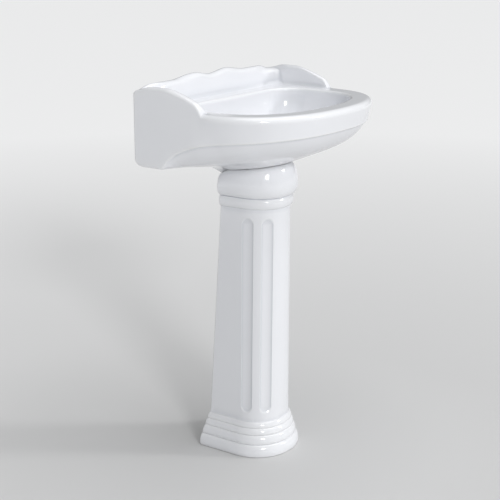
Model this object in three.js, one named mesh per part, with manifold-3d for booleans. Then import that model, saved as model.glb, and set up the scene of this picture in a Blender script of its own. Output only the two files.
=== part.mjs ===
// Pedestal sink: a bow-fronted vitreous china basin with a scalloped back panel and two wings, on a fluted
// pedestal that is open at the back, with its push-down drain, P-trap and wall fixings.
// Millimetres, +Z up. The origin is on the floor, under the middle of the whole object. The wall plane is
// y = +DEPTH / 2 and the front is -Y. Plan sizes below are given as d, the distance forward from the wall.
import * as THREE from "three";
import { mergeVertices } from "three/addons/utils/BufferGeometryUtils.js";
import Module from "manifold-3d";

const wasm = await Module();
wasm.setup();

// ---- Driving dimensions -------------------------------------------------------------------------------
const WIDTH = 525; // across the wings
const DEPTH = 384; // wall to the crest of the bow
const WALL = DEPTH / 2;
const RIM = 840; // top of the rim and the tap ledge
const SILL = 711; // bottom edge of the back panel and the wings
const WING_END = 186; // where the wings stop and the bow starts
const WING_THICK = 18;
const BACK_THICK = 26;
const RIM_THICK = 26;
const WING_ROLL = 8; // radius of the outer bullnose along the top of the wings,
const BACK_ROLL = 13; // of the back panel,
const RIM_ROLL = 12; // and of the rim
const WING_TOP = 888; // level top of the wings and of the panel's corners
const HUMP = 9; // height of the two humps on the back panel
const HUMP_X = 66; // where they peak
const HUMP_END = 150; // where they die out
const CORNER = { reach: 46, drop: 9 }; // easing of the panel's top corners
const BOWL = { w: 210, b: 80, r: 62, L: 190, f: 334, n: 2.4, m: 2.5 }; // opening of the bowl
const BOWL_FLOOR = 708;
const LIP = 7; // radius of the bowl's edge
const BELLY_RISE = 47; // how far the belly climbs from the wings to the bow
const DRAIN_D = 165; // drain axis, from the wall
const HOLE_R = 22; // drain hole
const DISH_R = 33; // where the bowl's floor begins, outside the flange's seat
const BOSS = { r: 36, z: 680 }; // flat underside that the drain clamps on
const NECK = { d: 155, rx: 77, rd: 80, power: 2.6, inner: 0.62 }; // underside that sits over the pedestal
const NECK_Z = { at: 120, z: 685, slope: 0.155, droop: 11 }; // its slope, and how far it dips at the back
const JOINT_GAP = 2.6; // basin to pedestal
const CORNER_RELIEF = 3; // more of it at the pedestal's back corners

const COLUMN = { top: 590, foot: 82, wTop: 69, wFoot: 74.5, fTop: 225, fFoot: 222, L: 152, power: 2.2 };
// [z, d] of the cut back edges
const COLUMN_BACK = [[0, 46], [28, 47], [56, 54], [82, 60], [95, 62], [700, 98]];
const SHELL = 12; // wall of the pedestal
const FLUTE = { centres: [51.5, 99], half: 14.5, deep: 3.6, low: 104, high: 578 }; // centres from the front

const POCKET = { wall: 16, roof: 822, floor: 12, back: 70, china: 9 }; // service recess behind the bowl
const TAP_HOLE = { r: 17.5, d: 52, pitch: 101.6, roof: 831 }; // half-pierced from below
const FIXING = { x: 140, z: 775, holeR: 7, studR: 4.9 };
const FACETS = 20;

// ---- Small helpers ------------------------------------------------------------------------------------
const lerp = (a, b, t) => a + (b - a) * t;
const clamp01 = (t) => Math.min(1, Math.max(0, t));
const smooth = (a, b, x) => {
  const t = clamp01((x - a) / (b - a));
  return t * t * (3 - 2 * t);
};
const range = (n) => Array.from({ length: n }, (_, i) => i);
const deg = Math.PI / 180;

// Straight-line reading of a short list of [x, y] points.
function table(points, x) {
  const i = Math.max(1, points.findIndex((p) => p[0] >= x));
  const [a, b] = x > points.at(-1)[0] ? points.slice(-2) : [points[i - 1], points[i]];
  return lerp(a[1], b[1], clamp01((x - a[0]) / (b[0] - a[0])));
}

// ---- Closed meshes from rings and blocks --------------------------------------------------------------
function meshOf(points, faces) {
  const g = new THREE.BufferGeometry();
  g.setAttribute("position", new THREE.Float32BufferAttribute(points.flat(), 3));
  return g.setIndex(faces.flat());
}

const quad = (a, b, c, d) => [a, b, c, a, c, d];

// Rings of equal length, each joined to the next. torus joins the last ring to the first; otherwise both
// ends are closed by a fan about their middle.
function ringLoft(rings, torus) {
  const n = rings[0].length;
  const points = rings.flat();
  const faces = [];
  const spans = torus ? rings.length : rings.length - 1;
  for (let k = 0; k < spans; k++) {
    const next = (k + 1) % rings.length;
    for (let i = 0; i < n; i++) {
      const j = (i + 1) % n;
      faces.push(quad(k * n + i, k * n + j, next * n + j, next * n + i));
    }
  }
  if (!torus) {
    [rings[0], rings.at(-1)].forEach((ring, end) => {
      const base = end * (rings.length - 1) * n;
      const middle = [0, 1, 2].map((c) => ring.reduce((s, p) => s + p[c], 0) / n);
      const centre = points.push(middle) - 1;
      range(n).forEach((i) => {
        const [a, b] = [base + i, base + ((i + 1) % n)];
        faces.push(end ? [centre, a, b] : [centre, b, a]);
      });
    });
  }
  return meshOf(points, faces);
}

// The skin of a block of (nu, nv, nw) cells, bent by place(u, v, w) with each parameter from 0 to 1.
function blockSkin([nu, nv, nw], place) {
  const points = [];
  const faces = [];
  const side = (nA, nB, at, flip) => {
    const base = points.length;
    for (let i = 0; i <= nA; i++) for (let j = 0; j <= nB; j++) points.push(place(...at(i / nA, j / nB)));
    for (let i = 0; i < nA; i++) {
      for (let j = 0; j < nB; j++) {
        const [a, b] = [base + i * (nB + 1) + j, base + (i + 1) * (nB + 1) + j];
        faces.push(flip ? quad(a, a + 1, b + 1, b) : quad(a, b, b + 1, a + 1));
      }
    }
  };
  side(nu, nv, (u, v) => [u, v, 0], true);
  side(nu, nv, (u, v) => [u, v, 1], false);
  side(nu, nw, (u, w) => [u, 0, w], false);
  side(nu, nw, (u, w) => [u, 1, w], true);
  side(nv, nw, (v, w) => [0, v, w], true);
  side(nv, nw, (v, w) => [1, v, w], false);
  return meshOf(points, faces);
}

// ---- Booleans -----------------------------------------------------------------------------------------
function solid(geometry, matrix) {
  const bare = geometry.clone();
  bare.deleteAttribute("normal");
  bare.deleteAttribute("uv");
  if (matrix) bare.applyMatrix4(matrix);
  const g = mergeVertices(bare, 1e-3);
  const make = (index) =>
    new wasm.Manifold(
      new wasm.Mesh({ numProp: 3, vertProperties: g.attributes.position.array, triVerts: index }),
    );
  const index = new Uint32Array(g.index.array);
  const made = make(index);
  return made.volume() > 0 ? made : make(index.map((_, i) => index[i - (i % 3) + [0, 2, 1][i % 3]]));
}

function geometryOf(manifold) {
  const m = manifold.getMesh();
  const g = new THREE.BufferGeometry();
  g.setAttribute("position", new THREE.BufferAttribute(new Float32Array(m.vertProperties), 3));
  return g.setIndex(new THREE.BufferAttribute(new Uint32Array(m.triVerts), 1));
}

const moved = (x, y, z) => new THREE.Matrix4().makeTranslation(x, y, z);

// ---- Plan outlines ------------------------------------------------------------------------------------
// A rounded D: a straight back at d = b with corners of radius r, straight sides at x = -w and a bow that
// is a superellipse from (w, L) to (0, f). A station names one place on its left half.
const STATIONS = [
  ...[0, 0.1, 0.2, 0.3, 0.4, 0.5, 0.6, 0.72, 0.86].map((t) => ["back", t]),
  ...[0, 0.25, 0.5, 0.75].map((t) => ["corner", t]),
  ...[0, 0.15, 0.3, 0.42, 0.52, 0.64, 0.78, 0.9, 0.955].map((t) => ["side", t]),
  ...[0, 0.12, 0.24, 0.36, 0.48, 0.6, 0.72, 0.86, 1].map((t) => ["bow", t]),
];

function dPoint([run, t], { w, b, r, L, f, n, m }) {
  if (run === "back") return [-(w - r) * t, b];
  if (run === "corner") {
    const a = t * 90 * deg;
    return [-(w - r) - r * Math.sin(a), b + r - r * Math.cos(a)];
  }
  if (run === "side") return [-w, lerp(b + r, L, t)];
  const a = t * 90 * deg;
  return [-w * Math.cos(a) ** (2 / n), L + (f - L) * Math.sin(a) ** (2 / m)];
}

// A full ring from a rule for its left half: the right half is its mirror image.
function mirroredRing(rule) {
  const half = STATIONS.map((s) => rule(s));
  const back = half.slice(1, -1).reverse();
  return [...half, ...back.map(([x, y, z]) => [-x, y, z])];
}

// ---- Basin --------------------------------------------------------------------------------------------
// The wing's height as a share of the whole, against the distance from the wall.
const WING_CURVE = [
  [78, 1],
  [92, 0.965],
  [105, 0.9],
  [132, 0.74],
  [158, 0.55],
  [170, 0.43],
  [178, 0.26],
  [WING_END, 0.02],
];

// Height of the panel and wings above the rim at a place on the outline. The wings fall to the rim in a
// hollow curve; the panel swells into two humps and is eased down at its corners.
function panelRise(x, d) {
  const full = WING_TOP - RIM;
  if (d > WING_END) return 0;
  if (d > WING_CURVE[0][0]) return full * table(WING_CURVE, d);
  if (d > CORNER.reach) return full;
  const s = Math.abs(x);
  const cornerDrop = CORNER.drop * (1 - smooth(0, CORNER.reach, Math.max(WIDTH / 2 - s, d)));
  const swell = s > HUMP_X ? 1 - smooth(HUMP_X, HUMP_END, s) : lerp(0.15, 1, smooth(0, HUMP_X, s));
  return full - cornerDrop + HUMP * swell;
}

// Bottom edge of the outer face: level under the panel, an arc up behind the wing, then the apron.
const SILL_CURVE = [
  [75, 0],
  [84, 10],
  [93, 20],
  [107, 31],
  [129, 43],
  [156, 53],
  [186, 60.5],
  [250, 68],
  [DEPTH, 77],
];
const SILL_CORNER = 20; // radius of the panel's bottom corners

function sill(x, d) {
  const inside = Math.min(SILL_CORNER, Math.max(WIDTH / 2 - Math.abs(x), d));
  const round = SILL_CORNER - Math.sqrt(SILL_CORNER ** 2 - (SILL_CORNER - inside) ** 2);
  return SILL + round + (d > SILL_CURVE[0][0] ? table(SILL_CURVE, d) : 0);
}

// How far a station belongs to the back panel: 1 along it, 0 on the wings and the bow.
const backShare = ([run, t]) => ({ back: 1, corner: 1 - t })[run] ?? 0;

// One section of the outside, the panel and the ledge: [inset from the outline, height] pairs. The top is
// a bullnose of radius roll, leaned over on the inside so that the panel is thick through.
function shellSection(station) {
  const [x, d] = dPoint(station, outline(0));
  const rise = panelRise(x, d);
  const bow = smooth(WING_END - 30, WING_END + 40, d);
  const share = backShare(station);
  const thick = lerp(lerp(WING_THICK, BACK_THICK, share), RIM_THICK, bow);
  const roll = lerp(lerp(WING_ROLL, BACK_ROLL, share), RIM_ROLL, bow);
  const top = RIM + rise;
  const drop = Math.min(thick - roll, rise / 2);
  const cove = Math.min(11, rise / 2);
  const bottom = sill(x, d);
  const taper = 8 * bow;
  const outer = [30, 60].map((a) => [roll * (1 - Math.cos(a * deg)), top - roll * (1 - Math.sin(a * deg))]);
  const inner = [30, 60, 90].map((a) => [
    roll + (thick - roll) * Math.sin(a * deg),
    top - drop * (1 - Math.cos(a * deg)),
  ]);
  return [
    [taper + 5, bottom],
    [taper + 1, bottom + 1.5],
    [taper, bottom + 5],
    [0, top - roll],
    ...outer,
    [roll, top],
    ...inner,
    [thick + 1, RIM + cove],
    [thick + 4, RIM + cove * 0.3],
    [thick + 12, RIM],
  ];
}

// The outer outline, inset by e. Inside corners are generously filleted; the outside ones are crisp.
function outline(e) {
  const r = lerp(7, 46, smooth(4, 30, e));
  return { w: WIDTH / 2 - e, b: e, r, L: WING_END, f: DEPTH - e, n: 2.3, m: 2.4 };
}

const SECTIONS = new Map(STATIONS.map((s) => [s, shellSection(s)]));
const SHELL_RINGS = SECTIONS.get(STATIONS[0]).length;

const shellRing = (k) =>
  mirroredRing((s) => {
    const [e, z] = SECTIONS.get(s)[k];
    const [x, d] = dPoint(s, outline(e));
    return [x, WALL - d, z];
  });

// Height of the bowl at rho, where 0 is the drain and 1 the opening: a shallow dish under a steep wall.
const bowlHeight = (rho) => 0.15 * rho ** 1.3 + 0.85 * (1 - (1 - rho ** 2.3) ** (1 / 2.3));

// A ring of the bowl, grown outward by e.
const bowlRing = (rho, z, e = 0) =>
  mirroredRing((s) => {
    const [x, d] = dPoint(s, BOWL);
    const reach = Math.hypot(x, d - DRAIN_D);
    const k = (lerp(DISH_R, reach, rho) + e) / reach;
    return [x * k, WALL - lerp(DRAIN_D, d, k), z];
  });

const circleRing = (r, z) =>
  mirroredRing((s) => {
    const [x, d] = dPoint(s, BOWL);
    const k = r / Math.hypot(x, d - DRAIN_D);
    return [x * k, WALL - lerp(DRAIN_D, d, k), z];
  });

// Height of the neck's underside: a plane that rises to the front and turns down at its back edge.
const neckPlane = (d) =>
  NECK_Z.z + NECK_Z.slope * (Math.max(d, 90) - NECK_Z.at) - NECK_Z.droop * smooth(118, 90, d);

// The underside at a station, from t = 1 at the bottom edge of the outer face to t = 0 at the neck.
function bellyPoint(s, t) {
  const [e, edge] = SECTIONS.get(s)[0];
  const [x, d] = dPoint(s, outline(e));
  const p = NECK.power;
  const k = 1 / (Math.abs(x / NECK.rx) ** p + Math.abs((d - NECK.d) / NECK.rd) ** p) ** (1 / p);
  const [nx, nd] = [x * k, lerp(NECK.d, d, k)];
  const forward = SILL + BELLY_RISE * smooth(75, DEPTH, d);
  const shape = lerp(1 - (1 - t) ** 2.2, t, smooth(100, DEPTH, d));
  const z = lerp(neckPlane(nd), forward, shape) + (edge - forward) * t ** 7;
  return [lerp(nx, x, t), lerp(nd, d, t), z];
}

const bellyRing = (t) =>
  mirroredRing((s) => {
    const [x, d, z] = bellyPoint(s, t);
    return [x, WALL - d, z];
  });

// The inner edge of the flat neck, where the drain boss begins.
const neckInnerRing = () =>
  mirroredRing((s) => {
    const [x, d] = bellyPoint(s, 0);
    const nd = lerp(NECK.d, d, NECK.inner);
    return [x * NECK.inner, WALL - nd, neckPlane(nd)];
  });

function basinBody() {
  const wall = [0, 0.2, 0.42, 0.62, 0.78, 0.9, 0.97].map((rho) =>
    bowlRing(rho, lerp(BOWL_FLOOR, RIM - LIP, bowlHeight(rho))),
  );
  return ringLoft(
    [
      circleRing(HOLE_R, BOSS.z),
      circleRing(HOLE_R, BOWL_FLOOR - 4),
      circleRing(DISH_R - 0.5, BOWL_FLOOR - 4),
      ...wall,
      bowlRing(1, RIM - LIP),
      bowlRing(1, RIM - 1.5, 2.5),
      bowlRing(1, RIM, LIP),
      ...range(SHELL_RINGS).map((i) => shellRing(SHELL_RINGS - 1 - i)),
      ...[0.93, 0.82, 0.64, 0.44, 0.2, 0].map(bellyRing),
      neckInnerRing(),
      circleRing(BOSS.r, BOSS.z),
    ],
    true,
  );
}

// The open service recess between the panel, the wings and the bowl. It is open below as far as
// POCKET.back from the wall, and has the belly as its floor beyond that.
const POCKET_STATIONS = STATIONS.filter(([run, t]) => run !== "bow" && !(run === "side" && t > 0.8));

// Distance from the drain, along a line that meets the bowl's opening at reach, to the back of the bowl's
// china at height z.
function bowlReach(reach, z) {
  const rise = (z + POCKET.china - BOWL_FLOOR) / (RIM - LIP - BOWL_FLOOR);
  let rho = 0.3;
  while (rho < 1 && bowlHeight(rho) < rise) rho += 0.01;
  return lerp(DISH_R, reach, rho) + POCKET.china;
}

// Bottom of the recess over a point of the belly.
function pocketFloor(s, x, d) {
  if (d < POCKET.back) return BOSS.z - 20;
  const [n, e] = [bellyPoint(s, 0), bellyPoint(s, 1)];
  const t = Math.hypot(x - n[0], d - n[1]) / Math.hypot(e[0] - n[0], e[1] - n[1]);
  return bellyPoint(s, clamp01(t))[2] + POCKET.floor;
}

// A place in the recess: v runs from the panel or wing (0) to the bowl (1), and w from floor to roof.
function pocketPoint(s, v, w) {
  const [ox, od] = dPoint(s, outline(POCKET.wall));
  const [bx, bd] = dPoint(s, BOWL);
  const reach = Math.hypot(bx, bd - DRAIN_D);
  const at = (z) => {
    const k = bowlReach(reach, z) / reach;
    return [lerp(ox, bx * k, v), lerp(od, lerp(DRAIN_D, bd, k), v)];
  };
  const lowest = SILL + 10;
  const z = lerp(pocketFloor(s, ...at(lowest)), POCKET.roof, w);
  return [...at(Math.max(z, lowest)), z];
}

function servicePocket() {
  const left = [...POCKET_STATIONS].reverse().map((s) => [s, 1]);
  const right = POCKET_STATIONS.slice(1).map((s) => [s, -1]);
  const path = [...left, ...right];
  return blockSkin([path.length - 1, 2, 4], (u, v, w) => {
    const [s, side] = path[Math.round(u * (path.length - 1))];
    const [x, d, z] = pocketPoint(s, v, w);
    return [x * side, WALL - d, z];
  });
}

// A cylinder along +Z between two heights, at (x, d).
function upright(r, low, high, x, d, sides = 24) {
  const g = new THREE.CylinderGeometry(r, r, high - low, sides).rotateX(Math.PI / 2);
  return solid(g, moved(x, WALL - d, (low + high) / 2));
}

// A cylinder along Y between two distances from the wall, at (x, z).
function level(r, near, far, x, z, sides = 16) {
  const g = new THREE.CylinderGeometry(r, r, far - near, sides);
  return solid(g, moved(x, WALL - (near + far) / 2, z));
}

// The basin, with the tap holes half-pierced from below and the two fixing holes through the panel.
function basinSolid() {
  const { r, d, pitch, roof } = TAP_HOLE;
  const cuts = [
    solid(servicePocket()),
    ...[-pitch, 0, pitch].map((x) => upright(r, POCKET.roof - 2, roof, x, d)),
    ...[-FIXING.x, FIXING.x].map((x) => level(FIXING.holeR, -5, 30, x, FIXING.z)),
  ];
  return cuts.reduce((body, cut) => body.subtract(cut), solid(basinBody()));
}

// ---- Pedestal -----------------------------------------------------------------------------------------
// Moulded bands as [low z, high z, offset at low, offset at high, bulge]: the base steps and the collar.
const BANDS = [
  [0, 30, 20, 17, 6],
  [30, 52, 15, 11.5, 4],
  [52, 68, 10, 6.5, 3.2],
  [68, 82, 6, 1.5, 2.6],
  [598, 624, 0, 2.5, 6.5],
];
const COLLAR = { low: 624, high: 704, from: 3, to: -1, bulge: 15.5, skew: 0.6 };

function moulding(z) {
  if (z > COLLAR.low) {
    const t = clamp01((z - COLLAR.low) / (COLLAR.high - COLLAR.low));
    return lerp(COLLAR.from, COLLAR.to, t) + COLLAR.bulge * Math.sin(Math.PI * t ** COLLAR.skew);
  }
  const band = BANDS.find(([low, high]) => z >= low && z <= high);
  if (!band) return 0;
  const [low, high, a, b, bulge] = band;
  const t = (z - low) / (high - low);
  return lerp(a, b, t) + bulge * Math.sqrt(Math.max(0, 1 - (2 * t - 1) ** 2));
}

// The column's half outline at height z, walked from the front centre: first the superelliptic front, then
// the flat side to the cut back edge. at(s) gives the point and outward normal after s millimetres.
function columnOutline(z) {
  const t = clamp01((z - COLUMN.foot) / (COLUMN.top - COLUMN.foot));
  const w = lerp(COLUMN.wFoot, COLUMN.wTop, t);
  const front = lerp(COLUMN.fFoot, COLUMN.fTop, t) - COLUMN.L;
  const curve = range(91).map((i) => {
    const a = i * deg;
    const power = 2 / COLUMN.power;
    return [-w * Math.sin(a) ** power, COLUMN.L + front * Math.cos(a) ** power];
  });
  curve.push([-w, table(COLUMN_BACK, z)]);
  const spans = curve.slice(1).map((q, i) => [q[0] - curve[i][0], q[1] - curve[i][1]]);
  const lengths = spans.reduce((sums, [x, d]) => [...sums, sums.at(-1) + Math.hypot(x, d)], [0]);
  const at = (s) => {
    const i = Math.min(spans.length - 1, Math.max(0, lengths.findIndex((l) => l >= s) - 1));
    const [sx, sd] = spans[i];
    const span = Math.hypot(sx, sd);
    const along = clamp01((s - lengths[i]) / span);
    return { x: curve[i][0] + sx * along, d: curve[i][1] + sd * along, nx: sd / span, nd: -sx / span };
  };
  return { at, total: lengths.at(-1) };
}

// Depth of the hollow flutes at s along the half outline, rounded off at their ends.
function fluteDepth(s, z) {
  const across = Math.min(...FLUTE.centres.map((c) => Math.abs(s - c)));
  const run = Math.max(0, FLUTE.low + FLUTE.half - z, z - FLUTE.high + FLUTE.half);
  const reach2 = (across ** 2 + run ** 2) / FLUTE.half ** 2;
  return FLUTE.deep * Math.sqrt(Math.max(0, 1 - reach2));
}

const SIDE_START = 118; // where the flutes end and the plain side begins, along the half outline
const FLUTE_STEPS = [
  0,
  18,
  ...FLUTE.centres.flatMap((c) => [-1, -0.6, 0, 0.6, 1].map((k) => c + k * FLUTE.half)),
  SIDE_START,
];

// Heights of the pedestal's rings: through each band, at the flutes' ends, and up the collar.
const LEVELS = [
  ...BANDS.flatMap(([low, high]) => [0, 0.14, 0.5, 0.86, 1].map((t) => lerp(low, high, t))),
  ...[0, 4, 10, 16].flatMap((step) => [FLUTE.low + step, FLUTE.high - step]),
  ...[100, 280, 430, 590],
  ...[0.06, 0.15, 0.27, 0.42, 0.6, 0.78, 1].map((t) => lerp(COLLAR.low, COLLAR.high, t)),
];
const PEDESTAL_LEVELS = [...new Set(LEVELS)].sort((a, b) => a - b);

// A closed ring from [x, d] places on the left half, the first of them on the middle plane.
function closedHalf(half, z) {
  const mirrored = half.slice(1).reverse().map(([x, d]) => [-x, d]);
  return [...half, ...mirrored].map(([x, d]) => [x, WALL - d, z]);
}

// The collar's rings are lifted towards the sloping joint under the basin, ever more as they near it.
function lifted([x, y, z]) {
  const share = Math.max(0, (z - COLLAR.low) / (COLLAR.high - COLLAR.low)) ** 2;
  const d = WALL - y;
  const joint = neckPlane(d) - JOINT_GAP - CORNER_RELIEF * smooth(125, 95, d);
  return [x, y, lerp(z, joint, share)];
}

function pedestalRing(z) {
  const line = columnOutline(z);
  const steps = [...FLUTE_STEPS, (SIDE_START + line.total) / 2, line.total];
  const half = steps.map((s) => {
    const { x, d, nx, nd } = line.at(s);
    const out = moulding(z) - fluteDepth(s, z);
    return [s === 0 ? 0 : x + out * Math.min(nx, 0), d + out * Math.max(nd, 0)];
  });
  return closedHalf(half, z).map(lifted);
}

// How far the hollow swells into the mouldings: into the collar, and into the foot.
function coreSwell(z) {
  if (z > 600 && z < COLLAR.high - 4) return moulding(z) * 0.7;
  return Math.max(0, 60 - z) * 0.12;
}

// The hollow: the column's own outline less the wall, carried past the floor, the top and the cut back.
function pedestalCore() {
  const rings = [-20, 30, 60, 90, 600, 625, 645, 670, 720].map((z) => {
    const line = columnOutline(Math.max(0, z));
    const inset = SHELL - coreSwell(z);
    const half = [0, 20, 40, 60, 80, 100, SIDE_START].map((s) => {
      const { x, d, nx, nd } = line.at(s);
      return [s === 0 ? 0 : x - inset * nx, d - inset * nd];
    });
    half.push([half.at(-1)[0], table(COLUMN_BACK, z) - 40]);
    return closedHalf(half, z);
  });
  return ringLoft(rings, false);
}

const pedestalSolid = () =>
  solid(ringLoft(PEDESTAL_LEVELS.map(pedestalRing), false)).subtract(solid(pedestalCore()));

// ---- Turned pieces and pipes --------------------------------------------------------------------------
// A closed [radius, height] profile turned about a vertical axis at distance d from the wall.
function turned(profile, d, sides = FACETS, low = 0) {
  const points = [...profile, profile[0]].map(([r, z]) => new THREE.Vector2(r, z));
  const g = new THREE.LatheGeometry(points, sides).rotateX(Math.PI / 2);
  return solid(g, moved(0, WALL - d, low));
}

const ringProfile = (inner, outer, low, high) => [[inner, low], [outer, low], [outer, high], [inner, high]];

// The same, about a level axis at x, z that runs out from the wall; heights are distances from the wall.
function turnedLevel(profile, x, z, sides = FACETS) {
  const points = [...profile, profile[0]].map(([r, d]) => new THREE.Vector2(r, WALL - d));
  return solid(new THREE.LatheGeometry(points, sides), moved(x, 0, z));
}

// A pipe in the plane x = 0 along a route of [d, z, heading] places; heading 0 is up and 90 is to the wall.
function pipe(route, outer, inner, sides = 16) {
  const ring = (r) => ([d, z, heading]) =>
    range(sides).map((i) => {
      const a = (i / sides) * 2 * Math.PI;
      const across = r * Math.sin(a);
      return [
        r * Math.cos(a),
        WALL - d - across * Math.cos(heading * deg),
        z + across * Math.sin(heading * deg),
      ];
    });
  return solid(ringLoft([...route.map(ring(outer)), ...route.map(ring(inner)).reverse()], true));
}

// Places along a circular bend about (d, z), as the heading turns from one angle to another.
const bend = (d, z, radius, from, to, steps) =>
  range(steps + 1).map((i) => {
    const h = lerp(from, to, i / steps);
    return [d + radius * Math.cos(h * deg), z + radius * Math.sin(h * deg), h];
  });

// ---- Drain --------------------------------------------------------------------------------------------
const THREAD_R = 19.4; // outside of the drain body
const BORE_R = 16.5;
const CLEAR = 0.3;
const SEAT = BOWL_FLOOR - 4;
const BODY_END = 640;
const BRIDGE = { low: 668, high: 674, width: 7 };

function drainBody() {
  const shell = turned(
    [
      [BORE_R, BODY_END],
      [THREAD_R, BODY_END],
      [THREAD_R, SEAT + 1.8],
      [31.5, SEAT + 1.8],
      [31.5, SEAT + 3],
      [29, SEAT + 4.3],
      [24.5, SEAT + 2.9],
      [17.5, SEAT + 2.3],
      [BORE_R, SEAT + 0.8],
    ],
    DRAIN_D,
    24,
  );
  const bar = new THREE.BoxGeometry(2 * BORE_R + 3, BRIDGE.width, BRIDGE.high - BRIDGE.low);
  return shell
    .add(solid(bar, moved(0, WALL - DRAIN_D, (BRIDGE.low + BRIDGE.high) / 2)))
    .add(upright(7.5, BRIDGE.low, BRIDGE.high, 0, DRAIN_D, 16))
    .subtract(upright(4.3, BRIDGE.low - 1, BRIDGE.high + 1, 0, DRAIN_D, 12));
}

function hexNut(across, bore, low, high) {
  const hexagon = upright(across / Math.sqrt(3), low, high, 0, DRAIN_D, 6);
  return hexagon.subtract(upright(bore, low - 1, high + 1, 0, DRAIN_D));
}

// A compression spring: a round wire carried along a helix, with closed flat coils at both ends.
class Helix extends THREE.Curve {
  constructor(radius, low, high, turns) {
    super();
    Object.assign(this, { radius, low, high, turns });
  }
  getPoint(t, target = new THREE.Vector3()) {
    const a = t * this.turns * 2 * Math.PI;
    return target.set(this.radius * Math.cos(a), this.radius * Math.sin(a), lerp(this.low, this.high, t));
  }
}

function spring(radius, wire, low, high, turns) {
  const sides = 5;
  const corners = range(sides).map((i) => {
    const a = (i / sides) * 2 * Math.PI;
    return new THREE.Vector2(wire * Math.cos(a), wire * Math.sin(a));
  });
  const extrudePath = new Helix(radius, low + wire, high - wire, turns);
  const options = { steps: turns * 9, extrudePath, bevelEnabled: false };
  const g = new THREE.ExtrudeGeometry(new THREE.Shape(corners), options);
  return solid(g, moved(0, WALL - DRAIN_D, 0));
}

// ---- Trap ---------------------------------------------------------------------------------------------
const TRAP = { outletD: 93, top: 455, turn: 420, overlap: 20, armTurn: 472, armBend: 28, armEnd: 50 };
const TUBE = { outer: 16, inner: 14.6 }; // tailpiece and trap arm
const SOCKET = { outer: 18.6, inner: 16.4 }; // the bend that they slide into

function slipNut(d) {
  const [low, ledge, high] = [TRAP.top - 11, TRAP.top + 8, TRAP.top + 12];
  const bore = SOCKET.outer + CLEAR;
  const outside = [[bore, low], [24, low], [24, high - 2], [22, high]];
  return turned([...outside, [SOCKET.inner, high], [SOCKET.inner, ledge], [bore, ledge]], d);
}

const slipWasher = (d) =>
  turned(ringProfile(TUBE.outer + CLEAR, SOCKET.outer, TRAP.top + CLEAR, TRAP.top + 8 - CLEAR), d);

function trapBend() {
  const radius = (DRAIN_D - TRAP.outletD) / 2;
  const turn = bend(DRAIN_D - radius, TRAP.turn, radius, 0, -180, 12).map(([d, z, h]) => [d, z, h + 180]);
  return pipe([[DRAIN_D, TRAP.top, 180], ...turn, [TRAP.outletD, TRAP.top, 0]], SOCKET.outer, SOCKET.inner);
}

function trapArm() {
  const centre = TRAP.outletD - TRAP.armBend;
  const turn = bend(centre, TRAP.armTurn, TRAP.armBend, 0, 90, 6);
  const start = [TRAP.outletD, TRAP.top - TRAP.overlap, 0];
  return pipe([start, ...turn, [TRAP.armEnd, TRAP.armTurn + TRAP.armBend, 90]], TUBE.outer, TUBE.inner);
}

// ---- Bumper pads --------------------------------------------------------------------------------------
// Each as its middle (x, d) and its size across and along, lying in the sloping joint.
const PADS = {
  front_pad: [0, 215, 34, 7],
  left_pad: [-61, 150, 7, 34],
  right_pad: [61, 150, 7, 34],
};
const PAD_THICK = 1.9;

function pad([x, d, across, along]) {
  const g = new THREE.BoxGeometry(across, along, PAD_THICK).rotateX(-Math.atan(NECK_Z.slope));
  return solid(g, moved(x, WALL - d, neckPlane(d) - JOINT_GAP / 2));
}

// ---- The object ---------------------------------------------------------------------------------------
const root = new THREE.Group();
const MATERIALS = {
  china: [0xf3f4f4, 0.12, 0],
  chrome: [0xd8dadd, 0.12, 1],
  brass: [0xc9a45c, 0.35, 1],
  steel: [0xa9abad, 0.3, 1],
  rubber: [0x2b2b2c, 0.8, 0],
  nylon: [0xe9e9e6, 0.45, 0],
};

function add(name, shape, look) {
  const [color, roughness, metalness] = MATERIALS[look];
  const material = new THREE.MeshStandardMaterial({ color, roughness, metalness });
  const mesh = new THREE.Mesh(geometryOf(shape), material);
  mesh.name = name;
  root.add(mesh);
}

// A plain ring around the drain's axis.
const drainRing = (inner, outer, low, high) => turned(ringProfile(inner, outer, low, high), DRAIN_D);

add("basin", basinSolid(), "china");
add("pedestal", pedestalSolid(), "china");
for (const [name, place] of Object.entries(PADS)) add(name, pad(place), "rubber");

// The drain, from the flange down.
const SLEEVE = THREAD_R + CLEAR;
add("drain_body", drainBody(), "chrome");
add("flange_gasket", drainRing(SLEEVE, 31, SEAT + CLEAR, SEAT + 1.5), "rubber");
const cone = [[31, 672], [31, 675], [25, BOSS.z - CLEAR]];
add("tapered_gasket", turned([[SLEEVE, 672], ...cone, [SLEEVE, BOSS.z - CLEAR]], DRAIN_D), "rubber");
add("friction_washer", drainRing(SLEEVE, 31, 669.7, 671.7), "nylon");
add("drain_locknut", hexNut(58, SLEEVE, 660, 669.4), "brass");

// The stopper: a domed cap with a stem that clips over the plunger.
const cap = [
  [0, SEAT - 3.7],
  [5, SEAT - 3.7],
  [5, SEAT + 4.2],
  [23.5, SEAT + 4.2],
  [24, SEAT + 5],
  [15, SEAT + 6.6],
  [0, SEAT + 7.2],
];
add("stopper_cap", turned(cap, DRAIN_D), "chrome");
add("stopper_seal", drainRing(18.5, 22.5, SEAT + 3.1, SEAT + 3.9), "rubber");
const plunger = [[0, 681], [2.6, 681], [2.6, 688], [4.2, 688], [4.2, 700], [0, 700]];
add("stopper_plunger", turned(plunger, DRAIN_D, 12), "brass");
const housing = [[0, 661], [4, 661], [4, 674.3], [6.3, 674.3], [6.3, 697], [4.6, 697], [4.6, 677], [0, 677]];
add("cartridge_housing", turned(housing, DRAIN_D, 12), "nylon");
add("cartridge_spring", spring(3.6, 0.4, 677.4, 687.6, 5), "steel");

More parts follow.
